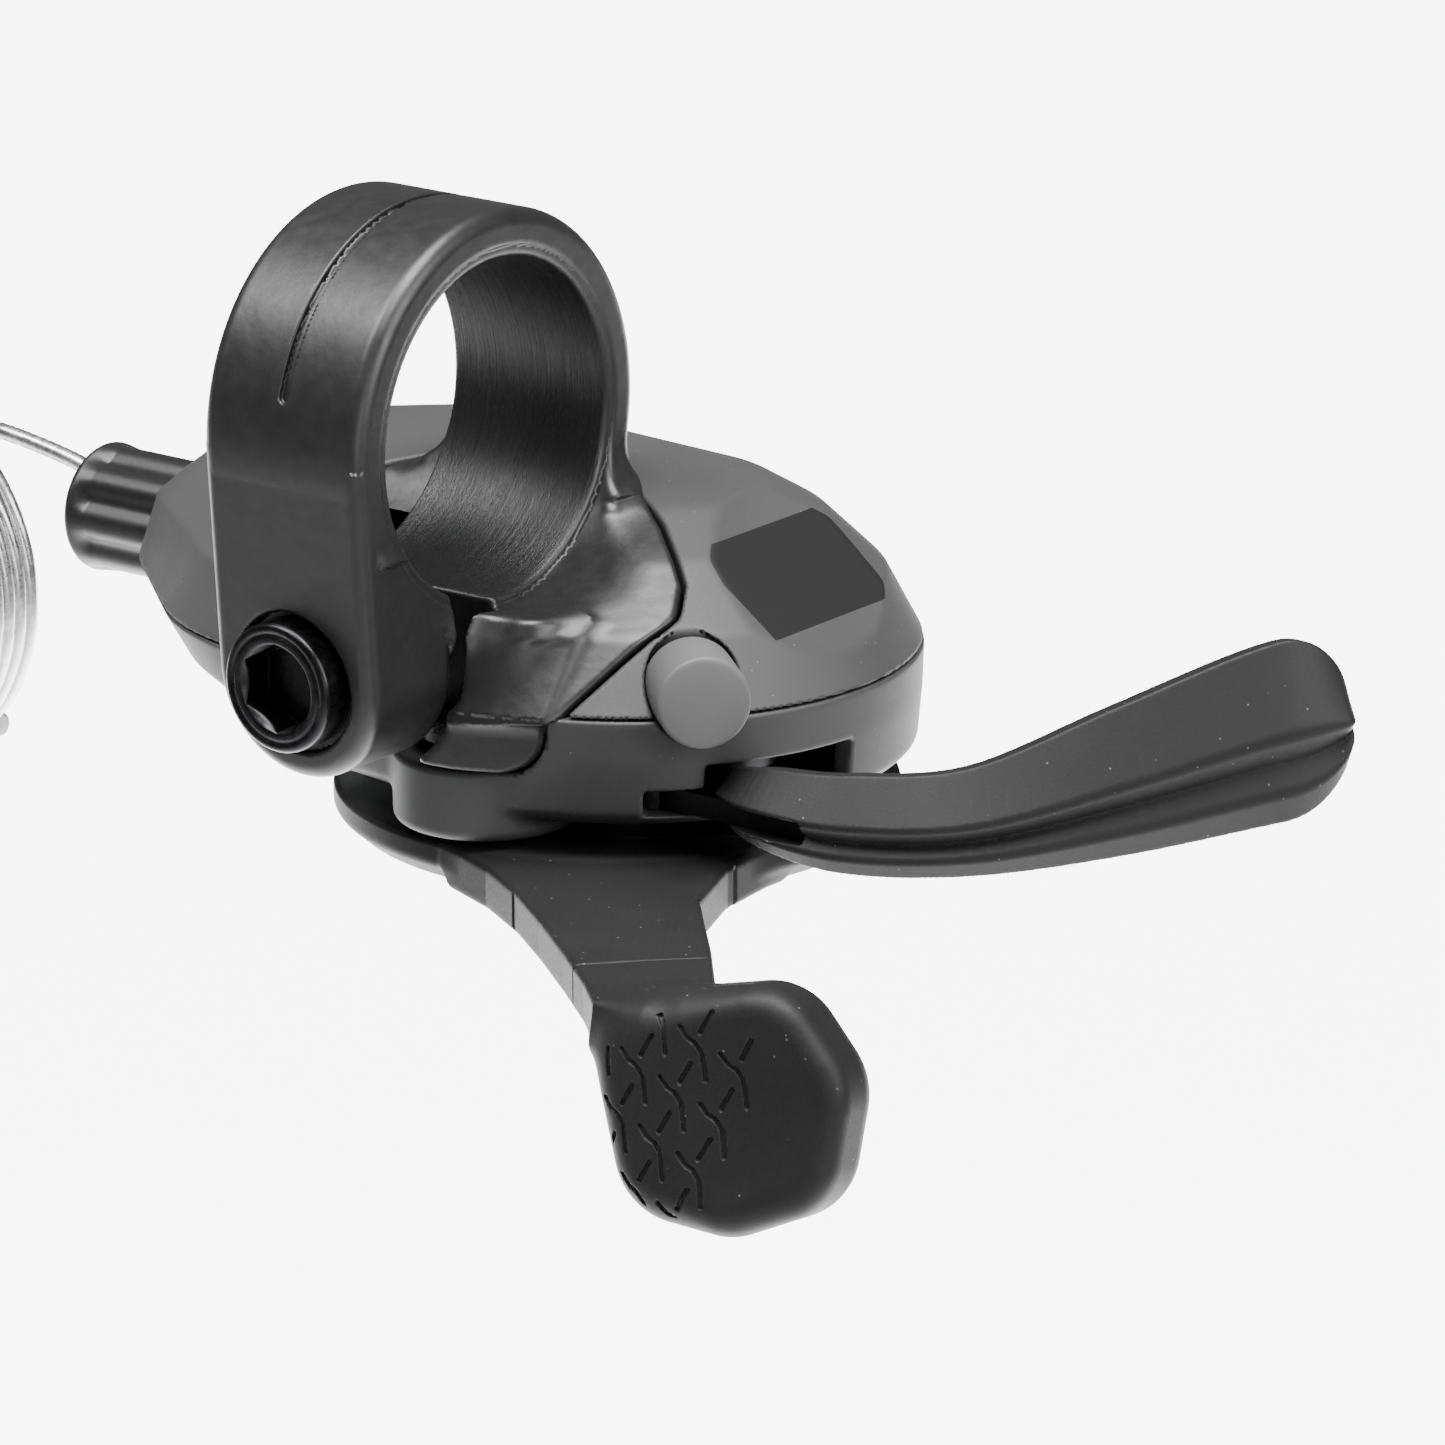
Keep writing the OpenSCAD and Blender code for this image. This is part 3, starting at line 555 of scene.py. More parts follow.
def coil_path():
    """Turns of the coil from the outside in: flat turns with a short step between neighbours."""
    layers, turns, steps, pitch = 5, 6, 72, 1.2
    rise = 1.29
    points = []
    row, direction = 0, 1
    for layer in range(layers):
        r_here = COIL_OUT - 0.65 - rise * layer
        for turn in range(turns):
            last = turn == turns - 1
            for k in range(steps):
                share = k / steps
                ease = min(max((share - 0.86) / 0.14, 0), 1)
                ease = ease * ease * (3 - 2 * ease)
                y = 0.6 + pitch * (row + (0 if last else direction * ease))
                r = r_here - (rise * ease if last and layer < layers - 1 else 0)
                if layer == 0 and turn == 0:
                    lead = max(1 - share / 0.2, 0)
                    r += (COIL_OUT + WIRE_R - r_here) * lead ** 2 * (3 - 2 * lead)
                    y -= 0.6 * lead
                angle = math.pi / 2 + 2 * math.pi * share
                points.append(coil_point(r, angle, y))
            if not last:
                row += direction
        direction = -direction
    r_in = COIL_OUT - 0.65 - rise * (layers - 1)
    for k in range(37):
        share = k / 36
        angle = math.pi / 2 + math.pi * share
        out = share * share * (3 - 2 * share)
        r = r_in + (10.8 - r_in) * out
        y = COIL_W - 0.6 + 2.1 * min(1, share * 2.2)
        points.append(coil_point(r, angle, y))
    points.append((COIL_X + 2, points[-1][1], points[-1][2]))
    return np.array(points)


def sweep(path, radii, sides, twist_per_mm=0.0, ridge=0.0, strands=6):
    """Rings of points swept along a path, with strands twisted round it."""
    step = np.gradient(path, axis=0)
    tangent = step / np.linalg.norm(step, axis=1)[:, None]
    run = np.concatenate([[0], np.cumsum(np.linalg.norm(np.diff(path, axis=0), axis=1))])
    side = np.cross(tangent[0], (0.1, 0.2, 1.0))
    rings = []
    for i in range(len(path)):
        side = side - tangent[i] * (side @ tangent[i])
        side /= np.linalg.norm(side)
        other = np.cross(tangent[i], side)
        angle = 2 * math.pi * np.arange(sides) / sides
        r = radii * (1 - ridge + ridge * np.abs(np.cos(strands / 2 * (angle - twist_per_mm * run[i]))))
        rings.append(path[i] + r[:, None] * (np.cos(angle)[:, None] * side + np.sin(angle)[:, None] * other))
    points = np.concatenate(rings)
    k = np.arange(sides)
    start = (np.arange(len(path) - 1) * sides)[:, None]
    after = (k + 1) % sides
    quads = np.stack([start + k, start + after, start + sides + after, start + sides + k], -1)
    return points, quads.reshape(-1, 4), run[-1]


def resample(path, spacing):
    run = np.concatenate([[0], np.cumsum(np.linalg.norm(np.diff(path, axis=0), axis=1))])
    at = np.linspace(0, run[-1], int(run[-1] / spacing) + 1)
    return np.stack([np.interp(at, run, path[:, i]) for i in range(3)], 1)


def make_wire():
    lead = smooth_path(ROUTE, 12)
    seen = resample(lead, 0.3)
    rest = resample(coil_path(), 0.55)
    path = np.vstack([seen[:-1], rest])
    points, quads, length = sweep(path, WIRE_R, 12, 2.1, 0.12)
    wire = mesh_object("inner_wire", points, quads)
    wire.data.materials.append(WIRE_STEEL)
    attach(wire, "root")
    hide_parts("inner_cable", "cable_coil")
    return wire, path, length


def make_tie():
    """A nylon tie round the coil at its lower outboard side, with a small square lock."""
    angle = math.radians(225)
    middle = (COIL_IN + COIL_OUT) / 2
    half_r, half_y, t = (COIL_OUT - COIL_IN) / 2, COIL_W / 2, 0.35

    def field(p):
        x, y, z = p[:, 0] - COIL_X, p[:, 1] - COIL_Y, p[:, 2] - COIL_Z
        radial = x * math.cos(angle) + z * math.sin(angle) - middle
        across = -x * math.sin(angle) + z * math.cos(angle)
        loop = np.abs(box2(radial, y, -half_r - t, half_r + t, -half_y - t, half_y + t, 1.2)) - t
        strap = rounded_prism(loop, np.abs(across) - 1.2, 0.15)
        lock_plan = box2(radial, y, half_r - 2.8, half_r - 0.4, half_y, half_y + 0.7, 0.2)
        lock = rounded_prism(lock_plan, np.abs(across) - 1.4, 0.2)
        return union(strap, lock, 0.2)

    low = (COIL_X - 12, COIL_Y - 5, COIL_Z - 12)
    high = (COIL_X - 2, COIL_Y + 5, COIL_Z - 2)
    return solid("wire_tie", field, low, high, 0.12, "root", TIE_NYLON, "tie_plastic", "coil_tie")


def make_end_cap():
    """A crimped alloy cap on the cut end of the wire."""
    y, z = COIL_Y + COIL_W / 2 + 0.9, COIL_Z - 10.8

    def field(p):
        r = np.hypot(p[:, 1] - y, p[:, 2] - z)
        x = p[:, 0] - COIL_X
        body = rounded_prism(r - 0.9, slab(x, 0, 9), 0.2)
        for place in (3.0, 4.6):
            dent = rounded_prism(np.abs(p[:, 1] - y - 0.95) - 0.28, np.abs(x - place) - 0.35, 0.1)
            body = cut(body, dent, 0.15)
        return cut(body, np.maximum(r - WIRE_R, x - 2.4), 0.1)

    return solid("wire_end_cap", field, (COIL_X - 1, y - 1.4, z - 1.4), (COIL_X + 10, y + 1.4, z + 1.4), 0.1,
                 "root", CAP_ALLOY, "cap_alloy", "cable_end_cap")


wire, wire_path, wire_length = make_wire()
wire_tie = make_tie()
wire_cap = make_end_cap()
[tuple(q) for q in wire_path * MM]


# ---------------------------------------------------------------- housing

# sections of the covers: height, shift forward, radii of the end, middle and nose arcs, and their places
DOME_LEVELS = [
    (-17.4, 0, 19.3, 18.6, 9.5, -25, -11), (-13, 0.8, 16.4, 17, 8.6, -25, -11),
    (-9.5, 2, 11.8, 13.2, 6, -23.5, -11), (-7.3, 3, 7.2, 8.6, 2.6, -20, -11),
    (-6.6, 3.4, 3.6, 5.2, 1.8, -16, -11), (-6.4, 3.4, 0.8, 2.2, 0.6, -14, -11),
]
LOWER_LEVELS = [
    (-25, 0, 17.9, 16.6, 11, -8.6, -2.4), (-23.8, 0, 18.9, 17.8, 12, -9, -2.4),
    (-20.4, 0, 19.2, 18.2, 8, -23.4, -9), (-17.4, 0, 19.3, 18.6, 9.5, -25, -11),
]
TABLE_STEP = 0.05


def level_table(levels, spread):
    """Columns of the sections against height, smoothed over the spread."""
    columns = np.array(sorted(levels), float)
    reach = np.arange(columns[0, 0] - 4, columns[-1, 0] + 4, TABLE_STEP)
    width = max(int(spread / TABLE_STEP), 1)
    window = np.hanning(width + 2)[1:-1]
    table = []
    for column in columns.T[1:]:
        first = (column[1] - column[0]) / (columns[1, 0] - columns[0, 0])
        last = (column[-1] - column[-2]) / (columns[-1, 0] - columns[-2, 0])
        line = np.interp(reach, columns[:, 0], column)
        line += first * np.minimum(reach - columns[0, 0], 0) + last * np.maximum(reach - columns[-1, 0], 0)
        table.append(np.convolve(line, window / window.sum(), "same"))
    return reach, table


DOME_TABLE = level_table(DOME_LEVELS, 0.9)
LOWER_TABLE = level_table(LOWER_LEVELS, 0.8)


def pod(p, table):
    """Distance to the housing's side, whose outline changes with height."""
    reach, columns = table
    forward, end_r, mid_r, nose_r, nose_x, mid_x = [np.interp(p[:, 2], reach, column) for column in columns]
    lean = np.interp(p[:, 2], reach, np.gradient(0.5 * (columns[1] + columns[2]), TABLE_STEP))
    x, v = p[:, 0], p[:, 1] - POD_Y - forward
    outboard = two_discs(x, v, mid_x, mid_r, END_X, end_r)
    inboard = two_discs(x, v, nose_x, nose_r, mid_x, mid_r)
    return np.minimum(outboard, inboard) / np.sqrt(1 + lean ** 2)




def dome(p):
    """The upper form, with the flat facet at its outboard end."""
    rise = both(pod(p, DOME_TABLE), p[:, 2] + 6.45, 0.6)
    return both(rise, FACET[0] * p[:, 0] + FACET[1] * p[:, 2] - FACET[2], 0.15)


def bar_space(p, r):
    return np.hypot(p[:, 1], p[:, 2]) - r


FOOT_PLAN = [
    (-13, -12), (17, -12), (16.9, 0), (16.4, 5.4), (15.2, 7.6), (11, 10.8), (6.6, 13.2), (-6.6, 13.2),
    (-9, 11.6), (-12, 8),
]
FOOT_FRONT = [
    (-13, 0), (18, 0), (17.4, -9.5), (16.2, -12.5), (14.4, -15.5), (12.6, -18.4), (11.2, -22), (-12, -22),
]
PLUG_AT, PLUG_OUT = np.array([21.2, 1.9, -15.8]), np.array([0.7547, -0.6561, 0.0])
POSTS = [(-14, 9), (-14, 20.6), (13.6, 28.6)]
BARREL_Y = POD_Y + 0.2
SEAM = 0.12


def foot_zone(p):
    """The part of the dome that the bracket foot takes."""
    plan = polygon2(p[:, 0], p[:, 1], FOOT_PLAN)
    front = polygon2(p[:, 0], p[:, 2], FOOT_FRONT)
    return both(plan, front, 0.4)


def plug_axes(p):
    """Distance along the plug, outwards, and away from its axis."""
    away = p - PLUG_AT
    along = away @ PLUG_OUT
    return along, np.sqrt(np.maximum((away ** 2).sum(1) - along ** 2, 0))


def plug_hole(p):
    along, radial = plug_axes(p)
    return np.maximum(radial - 3.14, slab(along, -5, 3))


def barrel_room(p):
    """Room in both covers for the barrel adjuster and its insert."""
    radial = np.hypot(p[:, 1] - BARREL_Y, p[:, 2] - WIRE_Z)
    wide = np.maximum(radial - 5.2, p[:, 0] + 31.6)
    neck = np.maximum(radial - 3.2, p[:, 0] + 24.9)
    flange = np.maximum(radial - 4, slab(p[:, 0], -28.6, -27.4))
    return np.minimum(np.minimum(wide, neck), flange)


def lug_space(p, grow):
    x, y, z = p.T
    side = np.where(z < PARTING_Z, pod(p, LOWER_TABLE), dome(p))
    wing = np.maximum(np.maximum(side - 0.02, y - 1.2), 3 - x)
    plan = union(disc(x, y, LUG_X, LUG_Y, LUG_R), wing, 3.0)
    return both(plan, box2(x, z, -8, 12.3, LUG_Z, 0, 2.8), 0.3) - grow


def top_cover_field(p):
    shell = both(dome(p), PARTING_Z + 0.05 - p[:, 2], 0.3)
    shell = cut(shell, bar_space(p, BAR_R + 0.6), 0.5)
    shell = cut(shell, np.maximum(bar_space(p, RING_R + 0.15), np.abs(p[:, 0]) - RING_W / 2 - 0.15), 0.15)
    shell = cut(shell, foot_zone(p) - 2 * SEAM, 0.35)
    inner = np.maximum(dome(p) + WALL, BAR_R + 2.1 - np.hypot(p[:, 1], p[:, 2]))
    shell = cut(shell, inner)
    return cut(cut(shell, barrel_room(p), 0.3), plug_hole(p), 0.3)


def lower_outer(p):
    side = both(pod(p, LOWER_TABLE), FLOOR_Z - p[:, 2], 1.2)
    return both(side, p[:, 2] - PARTING_Z + 0.05, 0.3)


def slot_sweep(p, start, height):
    """Window for the release lever, swept round the outboard end."""
    radial = np.hypot(p[:, 0] - END_X, p[:, 1] - POD_Y)
    turn = np.degrees(np.arctan2(p[:, 1] - POD_Y, p[:, 0] - END_X))
    across = slab(turn, start, -4) * math.radians(1) * END_R
    window = rounded_prism(across, slab(p[:, 2], -24, -24 + height), 0.3)
    return np.maximum(window, slab(radial, END_R - 3, END_R + 3))


def bottom_cover_field(p):
    x, y, z = p.T
    boss = rounded_prism(disc(x, y, LUG_X, LUG_Y, LUG_R), slab(z, BOSS_Z, LUG_Z), 0.7)
    shell = union(lower_outer(p), boss, 0.5)
    cavity = np.maximum(pod(p, LOWER_TABLE) + WALL, -24.1 - z)
    cavity = np.maximum(cavity, 3.1 - np.hypot(x - LUG_X, y - LUG_Y))
    shell = cut(shell, cavity)
    for px, py in POSTS:
        post = np.maximum(disc(x, y, px, py, 2.2), slab(z, -24.3, -20.5))
        shell = union(shell, np.maximum(post, pod(p, LOWER_TABLE) + 0.5), 0.3)
        shell = cut(shell, np.maximum(disc(x, y, px, py, 1), z + 18), 0)
        shell = cut(shell, np.maximum(disc(x, y, px, py, 1.9), z + 24), 0.1)
    shell = cut(shell, lug_space(p, 0.15), 0.2)
    shell = cut(shell, np.maximum(box2(x, y, -8, 10.8, -6.4, -0.4), LUG_Z - z), 0.1)
    shell = cut(shell, np.maximum(disc(x, y, LUG_X, LUG_Y, 1.8), z + 14), 0)
    shell = cut(shell, np.maximum(disc(x, y, LUG_X, LUG_Y, 2.2), z + 25.3), 0.1)
    shell = cut(shell, np.maximum(disc(x, y, AXLE_X, AXLE_Y, 5.4), z + 22), 0.2)
    shell = cut(shell, np.minimum(slot_sweep(p, -50, 1.8), slot_sweep(p, -38, 3.4)), 0.25)
    return cut(cut(shell, barrel_room(p), 0.3), plug_hole(p), 0.3)


def plug_field(p):
    along, radial = plug_axes(p)
    head = rounded_prism(radial - 3.0, slab(along, -4.2, 1.0), 0.35)
    ball = np.sqrt(radial ** 2 + (along + 12.8) ** 2) - 13.9
    head = both(head - 0.05, ball, 0.25)
    return both(head, -4.0 - along, 0.1)


# ---------------------------------------------------------------- clamp bracket and its bolt

DIMPLE_AT, DIMPLE_R = (13.0, 4.4, -4.4), 3.4


def groove(p):
    """Decorative line round the middle of the ring, with round ends."""
    turn = np.degrees(np.arctan2(p[:, 1], -p[:, 2])) % 360
    beyond = np.maximum(slab(turn, 122, 254), 0) * math.radians(1) * RING_R
    return np.maximum(np.hypot(p[:, 0], beyond) - 0.32, -(bar_space(p, RING_R) + 0.4))


def bracket_field(p):
    x, y, z = p.T
    ring = rounded_prism(bar_space(p, RING_R), np.abs(x) - RING_W / 2, 1.1)
    ear_plan = np.hypot(x, z - np.clip(z, BOLT_Z, 9)) - RING_W / 2
    front = (-14.2 - 0.0708 * z - y) * 0.9975
    ear = rounded_prism(ear_plan, np.maximum(front, y + 4.8), 1.0)
    clamp = np.minimum(ring, np.maximum(ear, z))
    block = rounded_prism(box2(x, y, -6.5, 6.5, -0.9, 4.6, 0.4), slab(z, LUG_Z, -9), 0.4)
    lean = 0.565 * (z + 17) - 0.825 * (y + 5.7)
    lug = both(np.maximum(lug_space(p, 0), z + 9), lean, 1.0)
    lug = cut(lug, np.maximum(np.maximum(disc(x, z, 0, BOLT_Z, 7.2), x - 6.9), y + 0.9), 0.8)
    foot = both(dome(p), foot_zone(p), 0.5)
    foot = both(foot, PARTING_Z - z, 0.15)
    hollow = np.maximum(dome(p) + WALL + 0.3, 5.4 - y)
    foot = union(union(foot, block, 2.0), lug, 1.6)
    leg = union(ring, foot, 4.0)
    over = np.maximum(np.minimum(dome(p), pod(p, LOWER_TABLE) + np.maximum(z - PARTING_Z, 0)), 7.8 - y)
    leg = cut(leg, np.maximum(over, 14.2 - np.hypot(y, z)), 0.3)
    shape = np.minimum(clamp, leg)
    room = np.maximum(disc(x, y, AXLE_X, AXLE_Y, 11.7), slab(z, -19.7, -14.1))
    room = np.minimum(room, np.maximum(disc(x, y, AXLE_X, AXLE_Y, 10.9), slab(z, LUG_Z - 1, -19.3)))
    shape = cut(shape, np.minimum(hollow, room))
    reach = ((x - DIMPLE_AT[0]) / 1.6) ** 2 + (y - DIMPLE_AT[1]) ** 2 + (z - DIMPLE_AT[2]) ** 2
    dimple = np.sqrt(reach) - DIMPLE_R
    shape = cut(shape, dimple, 0.5)
    shape = cut(shape, np.maximum(bar_space(p, BAR_R), np.abs(x) - 8), 0.5)
    shape = cut(shape, np.maximum(bar_space(p, BAR_R + 0.6), 6.5 - np.abs(x)), 0.5)
    slit = np.maximum(np.minimum(box2(x, z, -9, 9, BOLT_Z, -8.9), disc(x, z, 0, BOLT_Z, 7.2)), x - 6.9)
    shape = cut(shape, np.maximum(slit, slab(y, -4.8, SLIT_TOP_Y)), 0.4)
    shape = cut(shape, np.maximum(disc(x, z, 0, BOLT_Z, 2.5), y - 4), 0.1)
    shape = cut(shape, np.maximum(disc(x, z, 0, BOLT_Z, 4.65), y + 12.4), 0.3)
    tab = union(disc(x, y, LUG_X, LUG_Y, 4.5), box2(x, y, LUG_X - 4.5, LUG_X + 4.5, LUG_Y, LUG_Y + 8))
    shape = cut(shape, np.maximum(tab, slab(z, -20.6, -18.9)))
    shape = cut(shape, np.maximum(disc(x, y, LUG_X, LUG_Y, 1.7), z + 17.8))
    return cut(shape, groove(p), 0.15)


def bolt_field(p):
    x, y = p[:, 0], p[:, 1]
    z = p[:, 2] - BOLT_Z
    radial = np.hypot(x, z)
    bolt = union(rounded_prism(radial - 4.25, slab(y, -14.9, -12.4), 0.4),
                 rounded_prism(radial - 2.5, slab(y, -12.6, 3.2), 0.3), 0.3)
    flats = [np.abs(x * math.cos(a) + z * math.sin(a)) for a in np.radians((0, 60, 120))]
    socket = np.max(flats, axis=0) - 2.5
    bolt = cut(bolt, np.maximum(socket, y + 12.6), 0.1)
    bolt = cut(bolt, np.maximum(radial - 2.95 + (y + 14.9) * 0.9, y + 14.3), 0.15)
    ring = np.hypot(radial - 3.55, y + 14.95) - 0.14
    return cut(bolt, ring, 0.1)


# ---------------------------------------------------------------- levers

ARM_BOTTOM = ARM_TOP - ARM_T
ARM_PLAN = [
    (5, -4.2), (10, -6.2), (14.6, -8.9), (19, -12.1), (24, -16), (28.4, -19.6), (31.4, -22.4), (35.4, -22.4),
    (36.8, -17), (31, -10), (24.8, -3), (22.4, 3), (21.6, 10),
]
PAD_PLACES = [
    (34, -20.4, -31.4), (38.4, -20.4, -28.8), (42.4, -19.6, -27.6), (45.6, -19.2, -31), (45.2, -20, -35),
    (40.6, -21.4, -36.9), (36.8, -21.6, -36.6),
]
PAD_R = 3.2
PAD_CORE = [(-4, 1.2), (-1.6, 2.6), (2.2, 3.5), (4, 1.6), (3.7, -1.6), (0.6, -3.1), (-2.6, -2.9)]
PAD_CORNER = 4.6
PAD_MIDDLE = np.mean(PAD_PLACES, axis=0)
PAD_AXES = np.linalg.svd(np.array(PAD_PLACES) - PAD_MIDDLE)[2]
PAD_FACE = PAD_AXES[2] if PAD_AXES[2][1] < 0 else -PAD_AXES[2]
PAD_RIGHT = np.cross(PAD_FACE, (0, 0, 1.0))
PAD_RIGHT = -PAD_RIGHT / np.linalg.norm(PAD_RIGHT)
PAD_UP = np.cross(PAD_RIGHT, PAD_FACE)
PAD_UP = PAD_UP if PAD_UP[2] > 0 else -PAD_UP


def pad_axes(p):
    away = p - PAD_MIDDLE
    return away @ PAD_RIGHT, away @ PAD_UP, away @ PAD_FACE


def pad_solid(p):
    """Thumb pad: a rounded plate, dished towards its outboard side."""
    u, v, w = pad_axes(p)
    outline = polygon2(u, v, PAD_CORE) - PAD_CORNER
    plate = rounded_prism(outline, np.abs(w) - PAD_R, 2.4)
    dish = np.sqrt((u - 4.2) ** 2 + ((v - 0.4) * 0.75) ** 2 + (w - 13.2) ** 2) - 10.9
    return cut(plate, dish, 1.8)


def lever_whole(p):
    x, y, z = p.T
    wheel = disc(x, y, AXLE_X, AXLE_Y, 18.8)
    hub = rounded_prism(wheel, slab(z, ARM_BOTTOM, ARM_TOP), 0.35)
    hub = both(hub, 0.659 * wheel + 0.753 * (ARM_BOTTOM - z) + 1.054, 0.3)
    arm = rounded_prism(polygon2(x, y, ARM_PLAN), slab(z, ARM_BOTTOM, ARM_TOP), 0.45)
    return union(union(hub, arm, 0.8), pad_solid(p), 2.6)


def pad_split(p):
    """Moulding seam between the arm and the soft pad."""
    return 0.72 * (p[:, 0] - 27.6) - 0.69 * (p[:, 1] + 16.4)


def arm_field(p):
    x, y, z = p.T
    body = both(lever_whole(p), pad_split(p) + 0.04, 0.12)
    collar = rounded_prism(disc(x, y, AXLE_X, AXLE_Y, 5), slab(z, ARM_TOP - 1, -22.4), 0.2)
    body = union(body, collar, 0.2)
    seam = np.maximum(np.abs(0.84 * (x - 13.8) - 0.54 * (y + 9.2)) - 0.1, z - ARM_TOP + 0.3)
    body = cut(body, np.maximum(seam, -(lever_whole(p) + 0.16)), 0.05)
    return cut(body, disc(x, y, AXLE_X, AXLE_Y, 2.56), 0.15)


# forked tread marks on the pad: the first fork, the steps between forks, and one fork's strokes
TREAD_START, TREAD_ACROSS, TREAD_DOWN = (-4.99, 2.22), (2.7, -1.25), (1.6, -4.5)
TREAD_STROKES = [
    ((-1.1, 0.85), (-0.55, 0.25)), ((-0.55, 0.25), (0, 0)), ((0, 0), (0.45, -0.6)),
    ((0.45, -0.6), (0.77, -2.2)), ((0.25, 0.7), (0.88, 2.0)),
]


def tread_marks(u, v):
    """Distance to the nearest stroke of the forks."""
    best = np.full(u.shape, 1e9)
    for i in range(-3, 6):
        for j in range(-2, 4):
            cu = TREAD_START[0] + i * TREAD_ACROSS[0] + j * TREAD_DOWN[0]
            cv = TREAD_START[1] + i * TREAD_ACROSS[1] + j * TREAD_DOWN[1]
            if not -8.5 < cu < 3.0 or not -7.5 < cv < 6.2 or cu - 0.4 * cv > 3.2:
                continue
            for (au, av), (bu, bv) in TREAD_STROKES:
                du, dv = bu - au, bv - av
                pu, pv = u - cu - au, v - cv - av
                t = np.clip((pu * du + pv * dv) / (du * du + dv * dv), 0, 1)
                best = np.minimum(best, (pu - t * du) ** 2 + (pv - t * dv) ** 2)
    return np.sqrt(best)


def pad_field(p):
    whole = lever_whole(p)
    body = both(whole, 0.04 - pad_split(p), 0.12)
    u, v, w = pad_axes(p)
    inner = polygon2(u, v, PAD_CORE) - PAD_CORNER + 0.9
    marks = np.maximum(np.maximum(tread_marks(u, v) - 0.15, inner), -(whole + 0.2))
    return cut(body, np.maximum(marks, -w), 0.06)


# release lever: X, Y and Z along its middle, then half its height and half its thickness there
PADDLE = [
    (21.4, 4.4, -22.35, 1.45, 1.4), (25.4, 3.2, -22.4, 2.4, 1.8), (31, 4, -22.6, 3.0, 2),
    (38, 7.6, -22, 3.3, 2.2), (44.5, 14.2, -19.8, 4.6, 2.4), (50.4, 21.8, -17.6, 5.6, 2.4),
    (54, 26.8, -16.9, 5.6, 2.2),
]
PADDLE_PATH = smooth_path([row[:3] for row in PADDLE], 8)
PADDLE_SIZE = smooth_path([(row[3], row[4], 0) for row in PADDLE], 8)
PADDLE_SECTION = [
    (-0.6, 0.86), (-0.1, 0.9), (0.86, 0.06), (0.4, -0.28), (0.8, -0.6), (0.55, -0.87), (-0.6, -0.87),
]
TIP_ROUND = 5.0


def paddle_field(p):
    """Release lever: a swept blade with a long ridge on its rear face and a round tip."""
    best = np.full(len(p), 1e9)
    lateral, height, half, thick, run = (np.zeros(len(p)) for _ in range(5))
    start = 0.0
    for i in range(len(PADDLE_PATH) - 1):
        a, b = PADDLE_PATH[i], PADDLE_PATH[i + 1]
        d = b[:2] - a[:2]
        length = math.hypot(*d)
        along = ((p[:, :2] - a[:2]) @ d) / length ** 2
        low = 0 if i else -1e3
        high = 1 if i < len(PADDLE_PATH) - 2 else 1e3
        t = np.clip(along, low, high)
        off = p[:, :2] - a[:2] - t[:, None] * d
        gap = (off ** 2).sum(1)
        near = gap < best
        best[near] = gap[near]
        share = np.clip(t, 0, 1)
        lateral[near] = ((off[:, 0] * d[1] - off[:, 1] * d[0]) / length)[near]
        height[near] = (p[:, 2] - a[2] - share * (b[2] - a[2]))[near]
        half[near] = (PADDLE_SIZE[i, 0] + share * (PADDLE_SIZE[i + 1, 0] - PADDLE_SIZE[i, 0]))[near]
        thick[near] = (PADDLE_SIZE[i, 1] + share * (PADDLE_SIZE[i + 1, 1] - PADDLE_SIZE[i, 1]))[near]
        run[near] = (start + t * length)[near]
        start += length
    tip = np.clip((run - (start - TIP_ROUND)) / TIP_ROUND, 0, 0.985)
    half = half * np.sqrt(1 - tip ** 2.2)
    thick = thick * (1 - 0.3 * tip ** 2)
    section = polygon2(lateral / thick, height / half, PADDLE_SECTION) - 0.13
    blade = section * np.minimum(half, thick)
    ends = slab(run, 0, start)
    blade = both(blade, ends, 0.9)
    x, y, z = p.T
    tang = np.maximum(box2(x, y, 20, 29, -2, 10), slab(z, -23.95, -22.35))
    return cut(blade, tang)


def barrel_field(p):
    """Barrel adjuster: a fluted thimble with a round mouth."""
    y, z = p[:, 1] - BARREL_Y, p[:, 2] - WIRE_Z
    radial, turn = np.hypot(y, z), np.arctan2(z, y)
    flute = (0.5 - 0.5 * np.cos(8 * turn)) ** 1.6
    fade = np.clip((p[:, 0] + 40.4) / 1.4, 0, 1)
    outer = 4.78 - (0.35 + 0.5 * flute) * fade - 0.25 * (1 - fade)
    body = rounded_prism((radial - outer) * 0.92, slab(p[:, 0], -41, -32), 0.8)
    shank = rounded_prism(radial - 2, slab(p[:, 0], -33, -29), 0.2)
    body = union(body, shank, 0.1)
    body = cut(body, np.maximum(radial - 2.6, p[:, 0] + 36), 0.4)
    return cut(body, radial - 0.78)


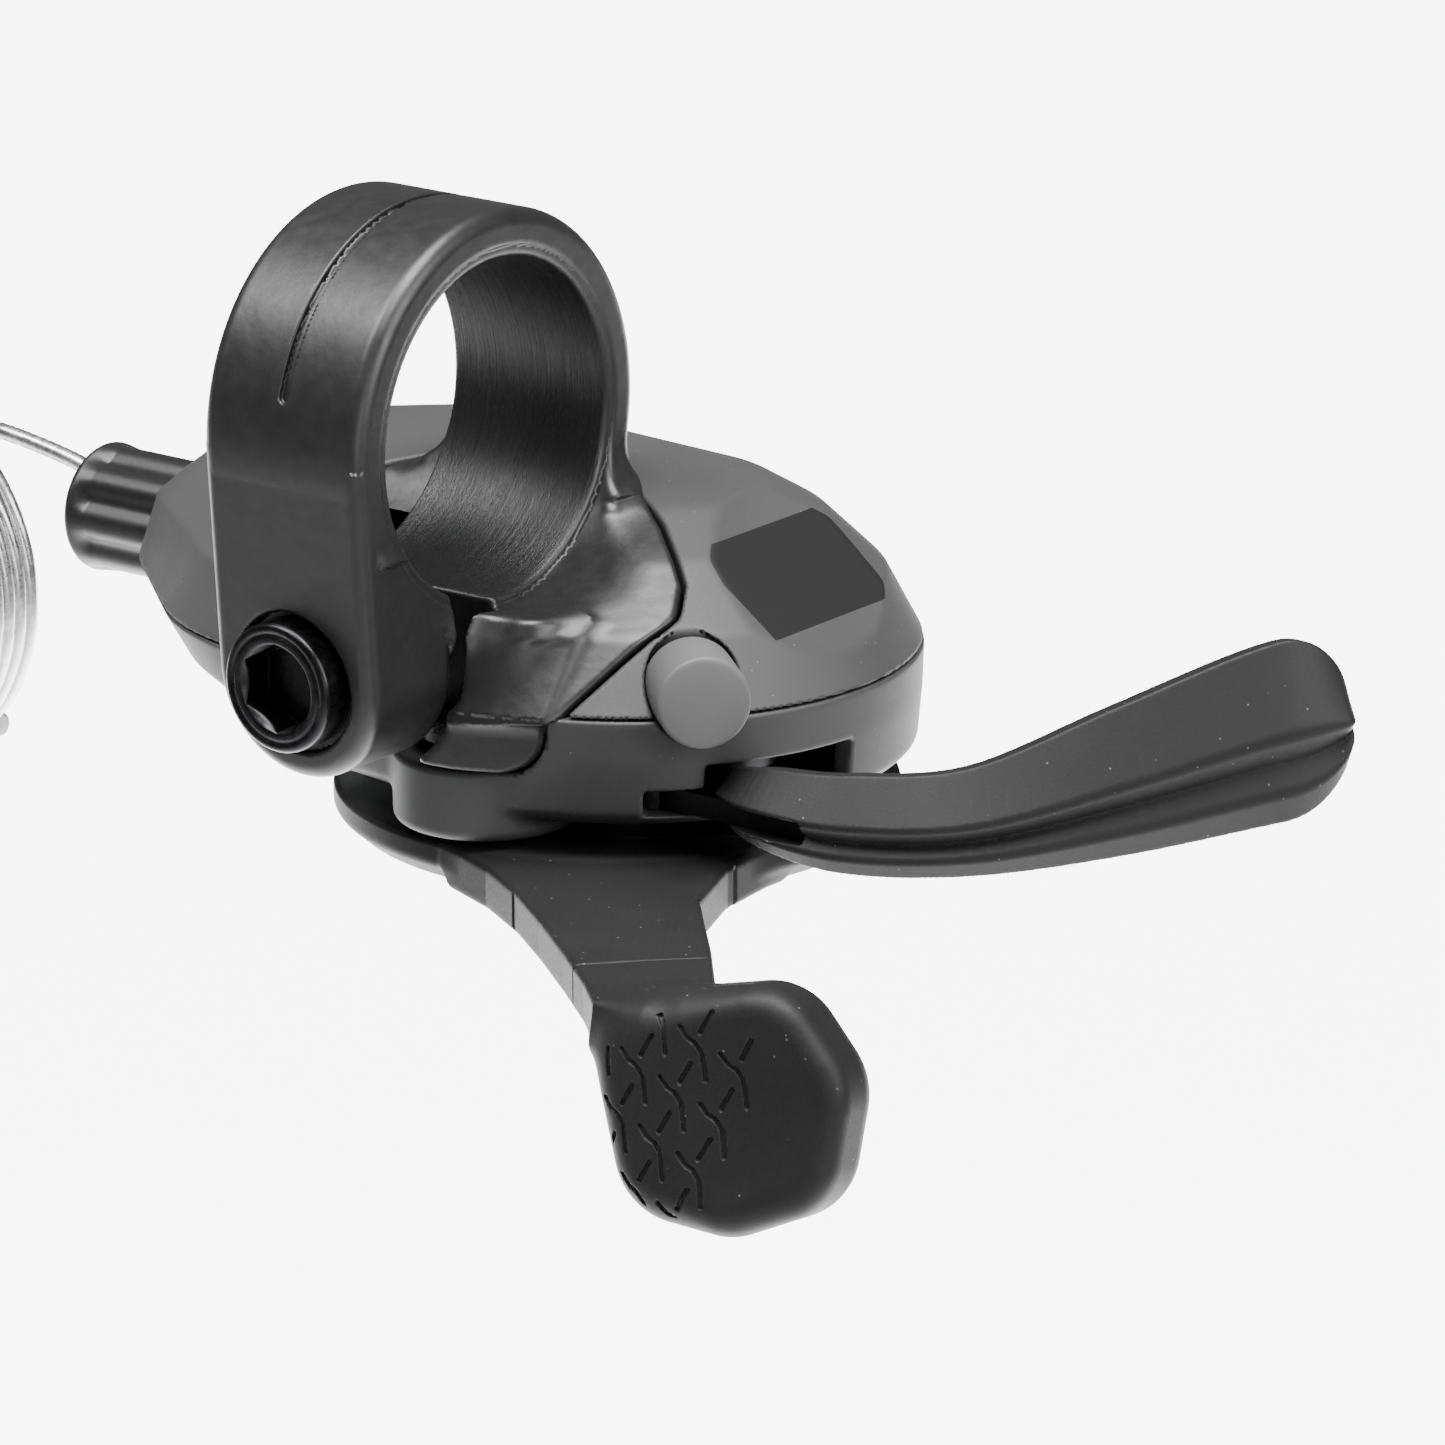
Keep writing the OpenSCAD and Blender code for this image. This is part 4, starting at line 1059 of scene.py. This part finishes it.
PIECES = [
    ("upper_cover", top_cover_field, (-36, -6, -18.4), (26, 36, -5.4), 0.25, "root", TOP_PLASTIC,
     "cover_plastic", "top_cover"),
    ("lower_cover", bottom_cover_field, (-36, -8, -27), (26, 36, -16.6), 0.27, "root", COVER_PLASTIC,
     "cover_plastic", "bottom_cover"),
    ("port_plug", plug_field, (16, -4, -20), (26, 6, -12), 0.12, "port_plug", PLUG_PLASTIC,
     "plug_plastic", "cable_port_plug"),
    ("bracket", bracket_field, (-14, -16, -25), (19, 16, 15), 0.22, "root", BRACKET_PAINT,
     "bracket_paint", "clamp_bracket"),
    ("pinch_bolt", bolt_field, (-5, -16, -20), (5, 4, -10), 0.12, "root", BOLT_BLACK,
     "black_bolt", "clamp_bolt"),
    ("thumb_arm", arm_field, (-16, -24, -38), (40, 35, -21.5), 0.25, "thumb_lever", LEVER_PLASTIC,
     "lever_plastic", "thumb_lever_arm"),
    ("thumb_pad", pad_field, (20, -28, -42), (51, -6, -22), 0.13, "thumb_lever", LEVER_PLASTIC,
     "lever_plastic", "thumb_lever_pad"),
    ("release_paddle", paddle_field, (20, -4, -30), (58, 32, -9), 0.18, "release_lever", LEVER_PLASTIC,
     "lever_plastic", "release_lever_paddle"),
    ("adjuster", barrel_field, (-42.5, 9, -22.5), (-28, 21, -10.5), 0.16, "barrel_adjuster", ADJUSTER_PLASTIC,
     "adjuster_plastic", "barrel_adjuster"),
]
for row in PIECES:
    made = solid(*row)
    if row[0] == "bracket":
        made.data.materials.append(BORE_PAINT)
        centres = np.empty(len(made.data.polygons) * 3, np.float32)
        made.data.polygons.foreach_get("center", centres)
        centres = centres.reshape(-1, 3) / MM
        bore = np.hypot(centres[:, 1], centres[:, 2]) < BAR_R + 0.12
        made.data.polygons.foreach_set("material_index", bore.astype(np.int32))

CAD_LOOKS = {
    BOLT_BLACK: ["bracket_screw", "release_lever_plate", "base_plate"],
    SCREW_ZINC: ["cover_screws", "axle_nut"],
    PLATE_STEEL: ["spring_plate", "drive_plate", "ratchet_wheel", "holding_pawl", "drive_pawl"],
    PIN_STEEL: ["main_axle", "drive_pawl_pin", "release_pin", "holding_pawl_pin"],
    SPRING_STEEL: ["pulley_spring", "thumb_lever_spring", "release_spring", "holding_pawl_spring",
                   "adjuster_spring"],
    ACETAL: ["cable_pulley", "lever_washer"],
    BRASS: ["adjuster_insert"],
    WIRE_STEEL: ["cable_lead", "cable_wrap"],
    CAP_ALLOY: ["cable_nipple"],
}
for look, names in CAD_LOOKS.items():
    for name in names:
        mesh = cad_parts[name].data
        mesh.materials.clear()
        mesh.materials.append(look)
